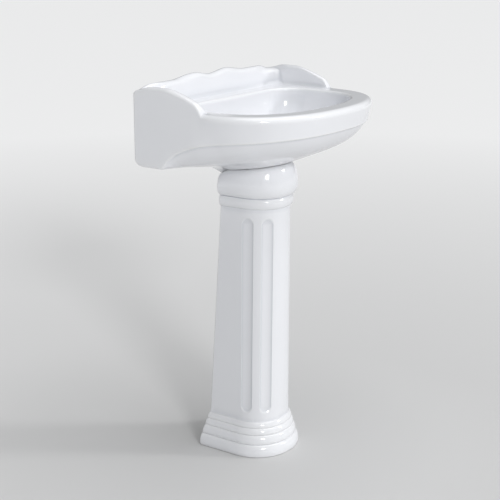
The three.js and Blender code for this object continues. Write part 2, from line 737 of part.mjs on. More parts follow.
// The tailpiece and the trap.
const tail = [[DRAIN_D, BODY_END + 12, 0], [DRAIN_D, TRAP.top - TRAP.overlap, 0]];
add("tailpiece", pipe(tail, TUBE.outer, TUBE.inner), "chrome");
const tailNut = [[16.4, 628], [22, 628], [24, 630], [24, 648], [SLEEVE, 648], [SLEEVE, 634], [16.4, 634]];
add("tailpiece_nut", turned(tailNut, DRAIN_D), "chrome");
add("tailpiece_washer", drainRing(TUBE.outer + CLEAR, 19.3, 634.3, BODY_END - CLEAR), "rubber");
add("trap_inlet_nut", slipNut(DRAIN_D), "chrome");
add("trap_inlet_washer", slipWasher(DRAIN_D), "rubber");
add("trap_bend", trapBend(), "chrome");
add("trap_union_nut", slipNut(TRAP.outletD), "chrome");
add("trap_union_washer", slipWasher(TRAP.outletD), "rubber");
add("trap_arm", trapArm(), "chrome");

// The wall fixings: a stud from the wall, a shouldered washer in the panel's hole, and a nut.
const shoulder = [[5.2, 4], [6.7, 4], [6.7, 16.3], [13, 16.3], [13, 18.5], [5.2, 18.5]];
for (const [side, name] of [[-1, "left"], [1, "right"]]) {
  const [x, z] = [side * FIXING.x, FIXING.z];
  add(`${name}_hanger_stud`, level(FIXING.studR, 0, 38, x, z, 12), "steel");
  add(`${name}_shoulder_washer`, turnedLevel(shoulder, x, z), "nylon");
  const nut = level(9.8, 18.8, 27, x, z, 6).subtract(level(5.2, 18, 28, x, z, 12));
  add(`${name}_cap_nut`, nut, "steel");
}

export default root;
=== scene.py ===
"""A pedestal sink in white vitreous china, with its push-down drain, its trap and its wall fixings.

The sink stands on the floor with its back to the wall. Lengths are in metres, +Z is up and the user stands
on the -Y side. Plan places are written (x, d), where d is the distance forward from the wall.
"""

import math

import bpy
import numpy as np
from bpy.props import FloatProperty, FloatVectorProperty, PointerProperty
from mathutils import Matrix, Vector


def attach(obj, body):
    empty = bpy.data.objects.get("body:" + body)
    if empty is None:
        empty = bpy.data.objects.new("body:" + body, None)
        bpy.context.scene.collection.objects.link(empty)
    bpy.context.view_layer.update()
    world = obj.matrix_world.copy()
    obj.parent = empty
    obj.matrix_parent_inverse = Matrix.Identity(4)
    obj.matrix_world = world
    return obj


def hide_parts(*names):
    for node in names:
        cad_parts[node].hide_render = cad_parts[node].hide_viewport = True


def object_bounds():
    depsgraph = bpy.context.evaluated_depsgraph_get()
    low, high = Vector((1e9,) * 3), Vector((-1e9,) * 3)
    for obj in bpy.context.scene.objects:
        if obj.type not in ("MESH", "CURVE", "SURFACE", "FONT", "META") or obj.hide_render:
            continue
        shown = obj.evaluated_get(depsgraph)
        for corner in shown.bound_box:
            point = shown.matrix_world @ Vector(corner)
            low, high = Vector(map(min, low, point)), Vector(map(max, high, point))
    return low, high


bl_info = {
    "name": "Pedestal Sink",
    "version": (1, 0, 0),
    "blender": (4, 5, 0),
    "location": "3D View > Sidebar > Sink",
    "description": "Builds a fluted china pedestal sink with its drain, trap and fixings",
    "category": "Add Mesh",
}

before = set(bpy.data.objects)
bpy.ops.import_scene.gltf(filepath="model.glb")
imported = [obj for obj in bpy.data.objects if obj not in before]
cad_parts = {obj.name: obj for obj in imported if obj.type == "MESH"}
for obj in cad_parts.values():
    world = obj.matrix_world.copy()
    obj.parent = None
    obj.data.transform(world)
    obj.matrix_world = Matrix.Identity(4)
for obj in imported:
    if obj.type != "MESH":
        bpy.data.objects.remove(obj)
CAD_LOW, CAD_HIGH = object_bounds()
WALL = CAD_HIGH.y  # the wall's plane; a place d forward of it is at y = WALL - d
FIXED, STOPPER = "fixed", "stopper"
MM = 0.001
CREASE = math.radians(35)  # edges that turn by more than this stay crisp


# ---- Numbers -----------------------------------------------------------------------------------------------
def lerp(a, b, t):
    """The value t of the way from a to b."""
    return a + (b - a) * t


def ease(a, b, x):
    """A smooth step from 0 at a to 1 at b: 3t^2 - 2t^3, with t held between 0 and 1."""
    t = np.clip((x - a) / (b - a), 0.0, 1.0)
    return t * t * (3 - 2 * t)


def curve_through(points, x):
    """A smooth curve through [x, y] points, read at x, that never overshoots them.

    Between two points it is the cubic with given end slopes. A slope is the mean of the chords on both sides,
    or nothing where they turn back, and is held to three times the smaller chord.
    """
    px, py = np.array(points, float).T
    chord = np.diff(py) / np.diff(px)
    slope = np.concatenate([chord[:1], (chord[:-1] + chord[1:]) / 2, chord[-1:]])
    least = np.minimum(np.abs(chord[:-1]), np.abs(chord[1:])) * 3
    inner = np.clip(slope[1:-1], -least, least)
    slope[1:-1] = np.where(chord[:-1] * chord[1:] > 0, inner, 0)
    i = np.clip(np.searchsorted(px, x) - 1, 0, len(chord) - 1)
    span = px[i + 1] - px[i]
    t = np.clip((x - px[i]) / span, 0, 1)
    return (
        py[i] * (1 + 2 * t) * (1 - t) ** 2
        + slope[i] * span * t * (1 - t) ** 2
        + py[i + 1] * t**2 * (3 - 2 * t)
        + slope[i + 1] * span * t**2 * (t - 1)
    )


def row_values(*parts):
    """Values end to end as one column, so that they broadcast against a row of places."""
    return np.concatenate([np.atleast_1d(p) for p in parts])[:, None]


def once_round(columns, whole=2 * np.pi):
    """Even steps once round a circle, as a row, in radians or as shares of another whole."""
    return np.linspace(0, whole, columns, endpoint=False)[None, :]


def point_grid(x, y, z):
    """A grid of points, from coordinates that broadcast against each other."""
    return np.stack(np.broadcast_arrays(x, y, z), -1)


# ---- Meshes ------------------------------------------------------------------------------------------------
def grid_faces(rows, columns, wrap_rows=False, wrap_columns=True):
    """The four-sided faces of a grid of points, numbered row by row, closed on itself where it wraps."""
    r = np.arange(rows if wrap_rows else rows - 1)[:, None]
    c = np.arange(columns if wrap_columns else columns - 1)[None, :]
    r2, c2 = (r + 1) % rows, (c + 1) % columns
    corners = [r * columns + c, r * columns + c2, r2 * columns + c2, r2 * columns + c]
    return np.stack(np.broadcast_arrays(*corners), -1).reshape(-1, 4)


def pole_faces(first, columns, pole, upper):
    """A fan of triangles from one row of a grid to a pole."""
    a = first + np.arange(columns)
    b = first + (np.arange(columns) + 1) % columns
    p = np.full(columns, pole)
    return np.stack([a, b, p] if upper else [b, a, p], -1)


def point_array(mesh):
    """The mesh's points as rows of x, y, z."""
    points = np.zeros(len(mesh.vertices) * 3)
    mesh.vertices.foreach_get("co", points)
    return points.reshape(-1, 3)


def signed_volume(mesh):
    """Volume inside a closed mesh: a sixth of the sum of each triangle's scalar triple product."""
    mesh.calc_loop_triangles()
    corners = np.zeros(len(mesh.loop_triangles) * 3, np.int32)
    mesh.loop_triangles.foreach_get("vertices", corners)
    a, b, c = np.moveaxis(point_array(mesh)[corners.reshape(-1, 3)], 1, 0)
    return float((a * np.cross(b, c)).sum() / 6)


def smooth(mesh):
    """Shades a mesh smooth, with its creases kept crisp."""
    mesh.shade_smooth()
    mesh.set_sharp_from_angle(angle=CREASE)


def add_object(name, data):
    """A new object in the scene, at the origin."""
    made = bpy.data.objects.new(name, data)
    bpy.context.scene.collection.objects.link(made)
    return made


def mesh_object(name, points, faces):
    """A smooth-shaded object from points and lists of faces, turned outwards if they face inwards."""
    mesh = bpy.data.meshes.new(name)
    mesh.from_pydata(points.reshape(-1, 3).tolist(), [], [f for part in faces for f in part.tolist()])
    mesh.validate()
    if signed_volume(mesh) < 0:
        mesh.flip_normals()
    smooth(mesh)
    return add_object(name, mesh)


def ring_body(name, points):
    """A closed body from a grid whose rows and columns both close on themselves."""
    rows, columns, _ = points.shape
    return mesh_object(name, points, [grid_faces(rows, columns, wrap_rows=True)])


def capped_body(name, points):
    """A closed body from a stack of closed rows, with both end rows shut by a fan to their middle."""
    rows, columns, _ = points.shape
    poles = np.stack([points[0].mean(0), points[-1].mean(0)])
    flat = np.concatenate([points.reshape(-1, 3), poles])
    count = rows * columns
    faces = [
        grid_faces(rows, columns),
        pole_faces(0, columns, count, upper=False),
        pole_faces(count - columns, columns, count + 1, upper=True),
    ]
    return mesh_object(name, flat, faces)


def cut_away(piece, cutters):
    """Takes closed bodies out of a piece, and removes them."""
    for cutter in cutters:
        modifier = piece.modifiers.new("cut", "BOOLEAN")
        modifier.operation = "DIFFERENCE"
        modifier.solver = "MANIFOLD"
        modifier.object = cutter
    evaluated = piece.evaluated_get(bpy.context.evaluated_depsgraph_get())
    piece.data = bpy.data.meshes.new_from_object(evaluated)
    piece.modifiers.clear()
    smooth(piece.data)
    for cutter in cutters:
        bpy.data.objects.remove(cutter)


def keep_attribute(mesh, name, values):
    """Stores one number for each point of the mesh, for its material to read."""
    attribute = mesh.attributes.new(name, "FLOAT", "POINT")
    attribute.data.foreach_set("value", np.asarray(values, np.float32))


def store_hollows(piece, scale=0.006, passes=6):
    """Stores as "hollow" how far each point lies in a crease (towards 1) or on an edge (towards 0).

    It is 0.5 on a plain face, plus the neighbours' mean height above the point over the square of their
    distance, times a length scale. It is then averaged with the neighbours' values a few times.
    """
    mesh = piece.data
    points = point_array(mesh)
    edges = np.zeros(len(mesh.edges) * 2, np.int32)
    mesh.edges.foreach_get("vertices", edges)
    a, b = edges.reshape(-1, 2).T
    normals = np.zeros(len(points) * 3)
    mesh.vertex_normals.foreach_get("vector", normals)
    normals = normals.reshape(-1, 3)
    along = points[b] - points[a]
    length2 = np.maximum((along**2).sum(1), 1e-10)
    count = np.bincount(a, minlength=len(points)) + np.bincount(b, minlength=len(points))

    def gathered(to_a, to_b):
        total = np.bincount(a, to_a, len(points)) + np.bincount(b, to_b, len(points))
        return total / np.maximum(count, 1)

    rise_a = (along * normals[a]).sum(1) / length2
    rise_b = -(along * normals[b]).sum(1) / length2
    bend = np.clip(gathered(rise_a, rise_b) * scale, -0.5, 0.5)
    for _ in range(passes):
        bend = 0.5 * bend + 0.5 * gathered(bend[b], bend[a])
    keep_attribute(mesh, "hollow", bend + 0.5)


# ---- Turned and drawn shapes -------------------------------------------------------------------------------
def softened(profile, radius, steps=4):
    """A closed outline with each corner rounded by a quadratic curve between two holding points.

    The curve takes up at most 0.3 of a side, and a holding point is half as far again from the corner.
    """
    p = np.asarray(profile, float)
    before, after = np.roll(p, 1, 0) - p, np.roll(p, -1, 0) - p
    sizes = [np.linalg.norm(v, axis=1, keepdims=True) for v in (before, after)]
    start, end = (
        p + v / size * np.minimum(radius, 0.3 * size) for v, size in zip((before, after), sizes)
    )
    t = np.linspace(0, 1, steps + 1)[None, :, None]
    s, m, e = start[:, None], p[:, None], end[:, None]
    arc = (1 - t) ** 2 * s + 2 * t * (1 - t) * m + t**2 * e
    hold = [m + (s - m) * 1.5, arc, m + (e - m) * 1.5]
    return np.concatenate(hold, 1).reshape(-1, 2)


def turned(profile, d, columns=96, x=0.0):
    """A closed outline of (radius, height) points turned about an upright axis at (x, d)."""
    r, z = np.asarray(profile, float).T[:, :, None]
    a = once_round(columns)
    return point_grid(x + r * np.cos(a), WALL - d + r * np.sin(a), z)


def turned_solid(name, profile, d, radius=0.0004, columns=96):
    """A turned body whose outline starts and ends on the axis, where it is shut by a pole.

    The outline runs from the bottom of the axis, outwards and up, to the top of the axis.
    """
    p = np.asarray(profile, float) * MM
    whole = np.concatenate([p, p[-2:0:-1] * [-1, 1]])
    soft = softened(whole, radius)
    half = soft[(soft[:, 0] > 1e-6) & (np.arange(len(soft)) < len(soft) // 2)]
    return capped_body(name, turned(half, d, columns))


def turned_ring(name, profile, d, radius=0.0004):
    """A turned body from a closed outline, in millimetres, that stays clear of the axis."""
    return ring_body(name, turned(softened(np.array(profile) * MM, radius), d))


def plain_ring(name, inner, outer, low, high, d, radius=0.0004):
    """A turned ring with a four-sided section, between two radii and two heights in millimetres."""
    return turned_ring(name, [[inner, low], [outer, low], [outer, high], [inner, high]], d, radius)


def drawn_in(points, d, share):
    """Moves points towards the upright axis at d, to a share of their distance from it."""
    axis = np.array([0, WALL - d])
    points[..., :2] = axis + (points[..., :2] - axis) * share[..., None]
    return points


def thread(z, turn, low, high, pitch, depth):
    """Depth of a V thread, faded at both ends: a triangle wave of height over pitch less the turn."""
    phase = (z / pitch - turn) % 1.0
    fade = ease(low, low + pitch, z) * (1 - ease(high - pitch, high, z))
    return depth * fade * np.abs(2 * phase - 1)


def on_level_axis(points, x, z):
    """Points made about an upright axis at the wall, laid level: height becomes distance from the wall."""
    px, py, pz = np.moveaxis(points, -1, 0)
    return np.stack([x + px, WALL - pz, z + (py - WALL)], -1)


def flats(turn, sides, across):
    """Radius of a regular polygon with a given width across its flats, at a share of a turn."""
    step = 2 * np.pi / sides
    a = (turn * 2 * np.pi + step / 2) % step - step / 2
    return across / 2 / np.cos(a)


def nut_points(sides, across, bore, low, high, chamfer, columns=96):
    """A nut: a polygon whose corners are cut by a cone at both ends, with a round bore through it.

    The rows run up the outside, where the radius is the smaller of the polygon's and the cone's, and down
    the bore.
    """
    turn = once_round(columns, 1)
    corner = across / 2 / np.cos(np.pi / sides)
    lip = 0.4 * chamfer  # how far the edges of both ends are drawn in, outside and in the bore
    up = np.array([0, 0, 0.2, 0.5, 1])
    rise = np.concatenate([up * chamfer, (high - low) - up[::-1] * chamfer])
    from_end = np.minimum(rise, high - low - rise)
    cone = (corner - np.maximum(0, chamfer - from_end) * (corner - across / 2) / chamfer)[:, None]
    outer = np.minimum(flats(turn, sides, across), cone)
    outer[[0, -1]] = np.minimum(outer[[0, -1]], across / 2 - lip)
    inner_rise = np.array([high - low, high - low - lip, lip, 0])
    inner = np.array([bore + lip, bore, bore, bore + lip])
    r = np.concatenate([outer, np.broadcast_to(inner[:, None], (4, columns))])
    z = low + np.concatenate([rise, inner_rise])[:, None]
    a = turn * 2 * np.pi
    return point_grid(r * np.cos(a), WALL + r * np.sin(a), z)


def drawn_tube(route, outer, inner):
    """A pipe in the middle plane along (d, z, heading) places: 0 is up and a quarter turn is to the wall.

    The rows run forward along the outside, round the end, back along the bore, and round the start. A place
    on a row is its centre plus the radius times (cosine, sine) in the plane square to the heading, pushed
    along the heading where the wall is rounded over.
    """
    route = np.asarray(route, float)
    lip, middle = (outer - inner) / 2, (outer + inner) / 2
    turn = np.linspace(-np.pi / 2, np.pi / 2, 7)
    along, over, bulge = np.zeros(len(route)), lip * np.sin(turn), lip - lip * np.cos(turn)
    start, end = (np.repeat(place, len(turn), 0) for place in (route[:1], route[-1:]))
    d, z, heading = np.concatenate([route, end, route[::-1], start]).T[:, :, None]
    r = row_values(along + outer, middle - over, along + inner, middle + over)
    p = row_values(along, -bulge, along, bulge)
    a = once_round(64)
    across = r * np.sin(a)
    y = WALL - d - across * np.cos(heading) + p * np.sin(heading)
    return point_grid(r * np.cos(a), y, z + across * np.sin(heading) + p * np.cos(heading))


# ---- Materials ---------------------------------------------------------------------------------------------
MOST = (0.3, 0.7)  # the span in which most of a cloudy pattern's values lie


class Finish:
    """A material being put together: its node tree, its shader and its place coordinates."""

    def __init__(self, name, colour, metallic=0.0, roughness=0.4):
        """Starts a plain material with one colour."""
        self.material = bpy.data.materials.new(name)
        self.material.use_nodes = True
        self.material.diffuse_color = (*colour, 1)
        self.tree = self.material.node_tree
        self.shader = self.tree.nodes["Principled BSDF"]
        self.shader.inputs["Base Color"].default_value = (*colour, 1)
        self.shader.inputs["Metallic"].default_value = metallic
        self.shader.inputs["Roughness"].default_value = roughness
        self.place = self.tree.nodes.new("ShaderNodeTexCoord").outputs["Object"]

    def node(self, kind, inputs=None, **settings):
        """Adds a node, sets its fields, and links or sets its inputs."""
        made = self.tree.nodes.new(kind)
        for key, value in settings.items():
            setattr(made, key, value)
        for key, value in (inputs or {}).items():
            if isinstance(value, bpy.types.NodeSocket):
                self.tree.links.new(value, made.inputs[key])
            else:
                made.inputs[key].default_value = value
        return made

    def noise(self, scale, detail=3.0, roughness=0.5, stretch=(1, 1, 1)):
        """A cloudy pattern from 0 to 1, stretched along the axes."""
        place = self.node("ShaderNodeMapping", {"Vector": self.place, "Scale": stretch}).outputs[0]
        inputs = {"Vector": place, "Scale": scale, "Detail": detail, "Roughness": roughness}
        return self.node("ShaderNodeTexNoise", inputs).outputs["Fac"]

    def remap(self, value, span, to=(0.0, 1.0)):
        """A value moved from one span to another, and held inside it."""
        keys = ("From Min", "From Max", "To Min", "To Max")
        inputs = {"Value": value, **dict(zip(keys, (*span, *to)))}
        return self.node("ShaderNodeMapRange", inputs).outputs[0]

    def mixed(self, share, a, b):
        """One colour or another, by share."""
        mix = self.node("ShaderNodeMix", data_type="RGBA")
        for socket, value in zip((mix.inputs[0], mix.inputs[6], mix.inputs[7]), (share, a, b)):
            if isinstance(value, bpy.types.NodeSocket):
                self.tree.links.new(value, socket)
            else:
                socket.default_value = value if isinstance(value, float) else (*value, 1)
        return mix.outputs[2]

    def to_shader(self, **sockets):
        """Links values to the shader's sockets, named with underscores for spaces."""
        for key, value in sockets.items():
            self.tree.links.new(value, self.shader.inputs[key.replace("_", " ")])

    def bump(self, height, distance, under=None):
        """Raises the surface by a height times a distance, over another bump."""
        inputs = {"Height": height, "Distance": distance}
        if under is not None:
            inputs["Normal"] = under
        return self.node("ShaderNodeBump", inputs).outputs[0]


def china_finish(name, look):
    """Glazed vitreous china: a clear glaze over a white body, with a faint ripple and a finer peel.

    The glaze is greyer in a hollow, as painted shade in the creases, and paler on an edge. Where the stored
    value "bare" is 1 there is none, only rough, grainy clay with pores.
    """
    finish = Finish(name, look.china, roughness=look.gloss)
    hollow = finish.node("ShaderNodeAttribute", attribute_name="hollow").outputs["Fac"]
    bare = finish.node("ShaderNodeAttribute", attribute_name="bare").outputs["Fac"]
    body = Vector(look.china)
    tint = finish.remap(finish.noise(5.0, 4.0), (0.35, 0.65))
    glaze = finish.mixed(tint, body * 0.985, body)
    # painted shade: the glaze is mixed towards a blue-grey in creases and hollows, where shade falls
    crease_shade = finish.remap(hollow, (0.505, 0.62), (0.0, 0.7))
    glaze = finish.mixed(crease_shade, glaze, Vector(look.crease_shade))
    # lighter and a little warmer towards convex edges
    edge_paling = finish.remap(hollow, (0.2, 0.46), (0.35, 0.0))
    glaze = finish.mixed(edge_paling, glaze, (0.95, 0.945, 0.93))
    grain = finish.noise(900.0, 2.0)
    clay = finish.mixed(grain, (0.70, 0.68, 0.63), (0.80, 0.78, 0.73))
    wipe = finish.remap(finish.noise(14.0, 5.0, 0.6), MOST, (look.gloss * 0.7, look.gloss * 1.5))
    rough = finish.node("ShaderNodeMix", {0: bare, 2: wipe, 3: 0.85}).outputs[0]
    ripple = finish.bump(finish.noise(55.0, 1.0), 0.00006)
    peel = finish.bump(finish.noise(420.0, 1.5), 0.000008, under=ripple)
    pores = finish.remap(finish.noise(1600.0, 2.0), (0.55, 0.75))
    pin = finish.node("ShaderNodeMath", {0: pores, 1: bare}, operation="MULTIPLY").outputs[0]
    clay_bump = finish.bump(pin, 0.00012, under=peel)
    finish.to_shader(Base_Color=finish.mixed(bare, glaze, clay), Roughness=rough, Normal=clay_bump)
    finish.shader.inputs["IOR"].default_value = 1.52
    return finish.material


def metal_finish(name, colour, dark, rough, brushed=(1, 1, 1), scale=60.0):
    """A plated or machined metal: two tones by a fine cloud, with faint lines and wiped patches."""
    finish = Finish(name, colour, metallic=1.0, roughness=rough)
    cloud = finish.remap(finish.noise(scale, 5.0, 0.6), MOST)
    lines = finish.noise(900.0, 2.0, stretch=brushed)
    finish.to_shader(
        Base_Color=finish.mixed(cloud, dark, colour),
        Roughness=finish.remap(finish.noise(18.0, 3.0), MOST, (rough * 0.7, rough * 1.5)),
        Normal=finish.bump(lines, 0.000012),
    )
    return finish.material


def chrome_finish(name, look):
    """Bright chrome plate."""
    return metal_finish(name, look.chrome, Vector(look.chrome) * 0.9, 0.09)


def brass_finish(name, look):
    """Turned brass, with fine lines round the upright axis."""
    return metal_finish(name, look.brass, (0.42, 0.3, 0.14), 0.3, (1, 1, 14))


def steel_finish(name, look):
    """Zinc-plated steel, finely spangled."""
    return metal_finish(name, look.steel, (0.42, 0.43, 0.45), 0.32, (1, 9, 1), 220.0)


def rubber_finish(name, look):
    """Black moulded rubber with a dusty bloom and a fine grain."""
    finish = Finish(name, look.rubber, roughness=0.7)
    dusty = 0.35
    bloom = finish.remap(finish.noise(40.0, 5.0, 0.65), (0.45, 0.75), (0.0, dusty))
    finish.to_shader(
        Base_Color=finish.mixed(bloom, look.rubber, (0.16, 0.16, 0.155)),
        Roughness=finish.remap(bloom, (0.0, dusty), (0.6, 0.85)),
        Normal=finish.bump(finish.noise(1400.0, 2.0), 0.00003),
    )
    return finish.material


def nylon_finish(name, look):
    """Off-white moulded nylon, a little uneven in colour, with a fine satin grain."""
    finish = Finish(name, look.nylon, roughness=0.42)
    shade = finish.remap(finish.noise(30.0, 4.0), MOST)
    finish.to_shader(
        Base_Color=finish.mixed(shade, Vector(look.nylon) * 0.93, look.nylon),
        Roughness=finish.remap(finish.noise(90.0, 3.0), MOST, (0.36, 0.5)),
        Normal=finish.bump(finish.noise(1100.0, 2.0), 0.00001),
    )
    return finish.material


def floor_finish(name, look):
    """A plain pale floor, greyer near the sink than far off as painted shade, with a faint unevenness."""
    finish = Finish(name, look.floor, roughness=0.7)
    away = finish.node("ShaderNodeVectorMath", {0: finish.place}, operation="LENGTH").outputs["Value"]
    far = finish.remap(away, (0.7, 4.5))
    cloud = finish.remap(finish.noise(0.8, 3.0), MOST, (0.0, 0.02))
    # painted shade: the floor near the sink is darker grey, which also dims the light it throws up under the
    # basin
    near = finish.mixed(cloud, look.floor, (0.9, 0.9, 0.9))
    finish.to_shader(Base_Color=finish.mixed(far, near, (0.95, 0.95, 0.95)))
    return finish.material


FINISHES = {
    "china": ("white_china_glaze", china_finish),
    "chrome": ("chrome_plate", chrome_finish),
    "brass": ("turned_brass", brass_finish),
    "steel": ("zinc_plated_steel", steel_finish),
    "rubber": ("black_rubber", rubber_finish),
    "nylon": ("white_nylon", nylon_finish),
    "floor": ("pale_floor", floor_finish),
}


def material(kind):
    """The named finish, made the first time it is asked for."""
    name, make = FINISHES[kind]
    return bpy.data.materials.get(name) or make(name, bpy.context.scene.sink_finish)


def furnish(piece, node, kind, body=FIXED):
    """Gives a piece its finish, puts it in the place of its CAD node and lets it ride on a body."""
    piece.data.materials.clear()
    piece.data.materials.append(material(kind))
    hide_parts(node)
    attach(piece, body)
    return piece


# ---- Basin -------------------------------------------------------------------------------------------------
BACK, CORNER, SIDE, BOW = range(4)
# The wing's height as a share of the whole, against the distance from the wall.
WING_CURVE = [
    [0.078, 1],
    [0.092, 0.965],
    [0.105, 0.9],
    [0.132, 0.74],
    [0.158, 0.55],
    [0.170, 0.43],
    [0.178, 0.26],
    [0.186, 0.02],
]
# Rise of the outer face's bottom edge above the panel's, against the distance from the wall.
SILL_CURVE = [
    [0.075, 0],
    [0.084, 0.010],
    [0.093, 0.020],
    [0.107, 0.031],
    [0.129, 0.043],
    [0.156, 0.053],
    [0.186, 0.0605],
    [0.250, 0.068],
    [0.384, 0.077],
]
BOW_POWERS, BOWL_POWERS = (2.3, 2.4), (2.4, 2.5)  # of the superellipses, across and forward
DISH_POWER = 2.3  # of the bowl's section
FACE_TAPER = 0.008  # how far the bow's face leans in towards its bottom edge
EDGE_ROUND = 0.005  # radius of the face's bottom edge
COVE = 0.011  # reach of the hollow at the panel's foot
NECK_PLACE, NECK_POWER = 0.155, 2.6  # the neck's middle, from the wall, and the power of its outline
BOSS_RADIUS = 0.036  # of the flat underside round the drain
TAP_HOLE, FIXING_HOLE = 0.0175, 0.007  # radii
TAP_PLACE = 0.052  # from the wall to the tap holes
CROWDING = 1.35  # power that draws places together towards one end


class Outline:
    """The basin's plan: a rounded D, seen from its left half and mirrored.

    Each place has a run (along the back, round the corner, along the side or round the bow) and a share t of
    the way along it. The back is straight at d = b, the corner is a quarter circle of radius r, the side is
    straight at x = -w, and the bow is the superellipse |x/w|^n + |(d-L)/(f-L)|^m = 1.
    """

    def __init__(self, counts=(70, 16, 56, 84)):
        """Even shares, but closer together towards the end of the side."""
        shares = [np.arange(n) / n for n in counts]
        shares[SIDE] = 1 - (1 - shares[SIDE]) ** CROWDING
        shares[BOW] = np.linspace(0, 1, counts[BOW])
        self.run = np.repeat(np.arange(4), counts)
        self.t = np.concatenate(shares)

    def part(self, keep):
        """The same plan, with only some of its places."""
        chosen = Outline.__new__(Outline)
        chosen.run, chosen.t = self.run[keep], self.t[keep]
        return chosen

    def points(self, w, b, r, L, f, n, m):
        """(x, d) of every place, for sizes that may be arrays."""
        a = self.t * np.pi / 2
        cosine, sine = np.clip(np.cos(a), 0, 1), np.sin(a)
        x = [-(w - r) * self.t, -(w - r) - r * sine, -w + 0 * a, -w * cosine ** (2 / n)]
        d = [b + 0 * a, b + r - r * cosine, lerp(b + r, L, self.t), L + (f - L) * sine ** (2 / m)]
        chosen = [self.run == k for k in range(4)]
        return np.select(chosen, x), np.select(chosen, d)

    def back_share(self):
        """How far each place belongs to the back panel: 1 along it, 0 on the wings and the bow."""
        return np.select([self.run == BACK, self.run == CORNER], [np.ones_like(self.t), 1 - self.t], 0)


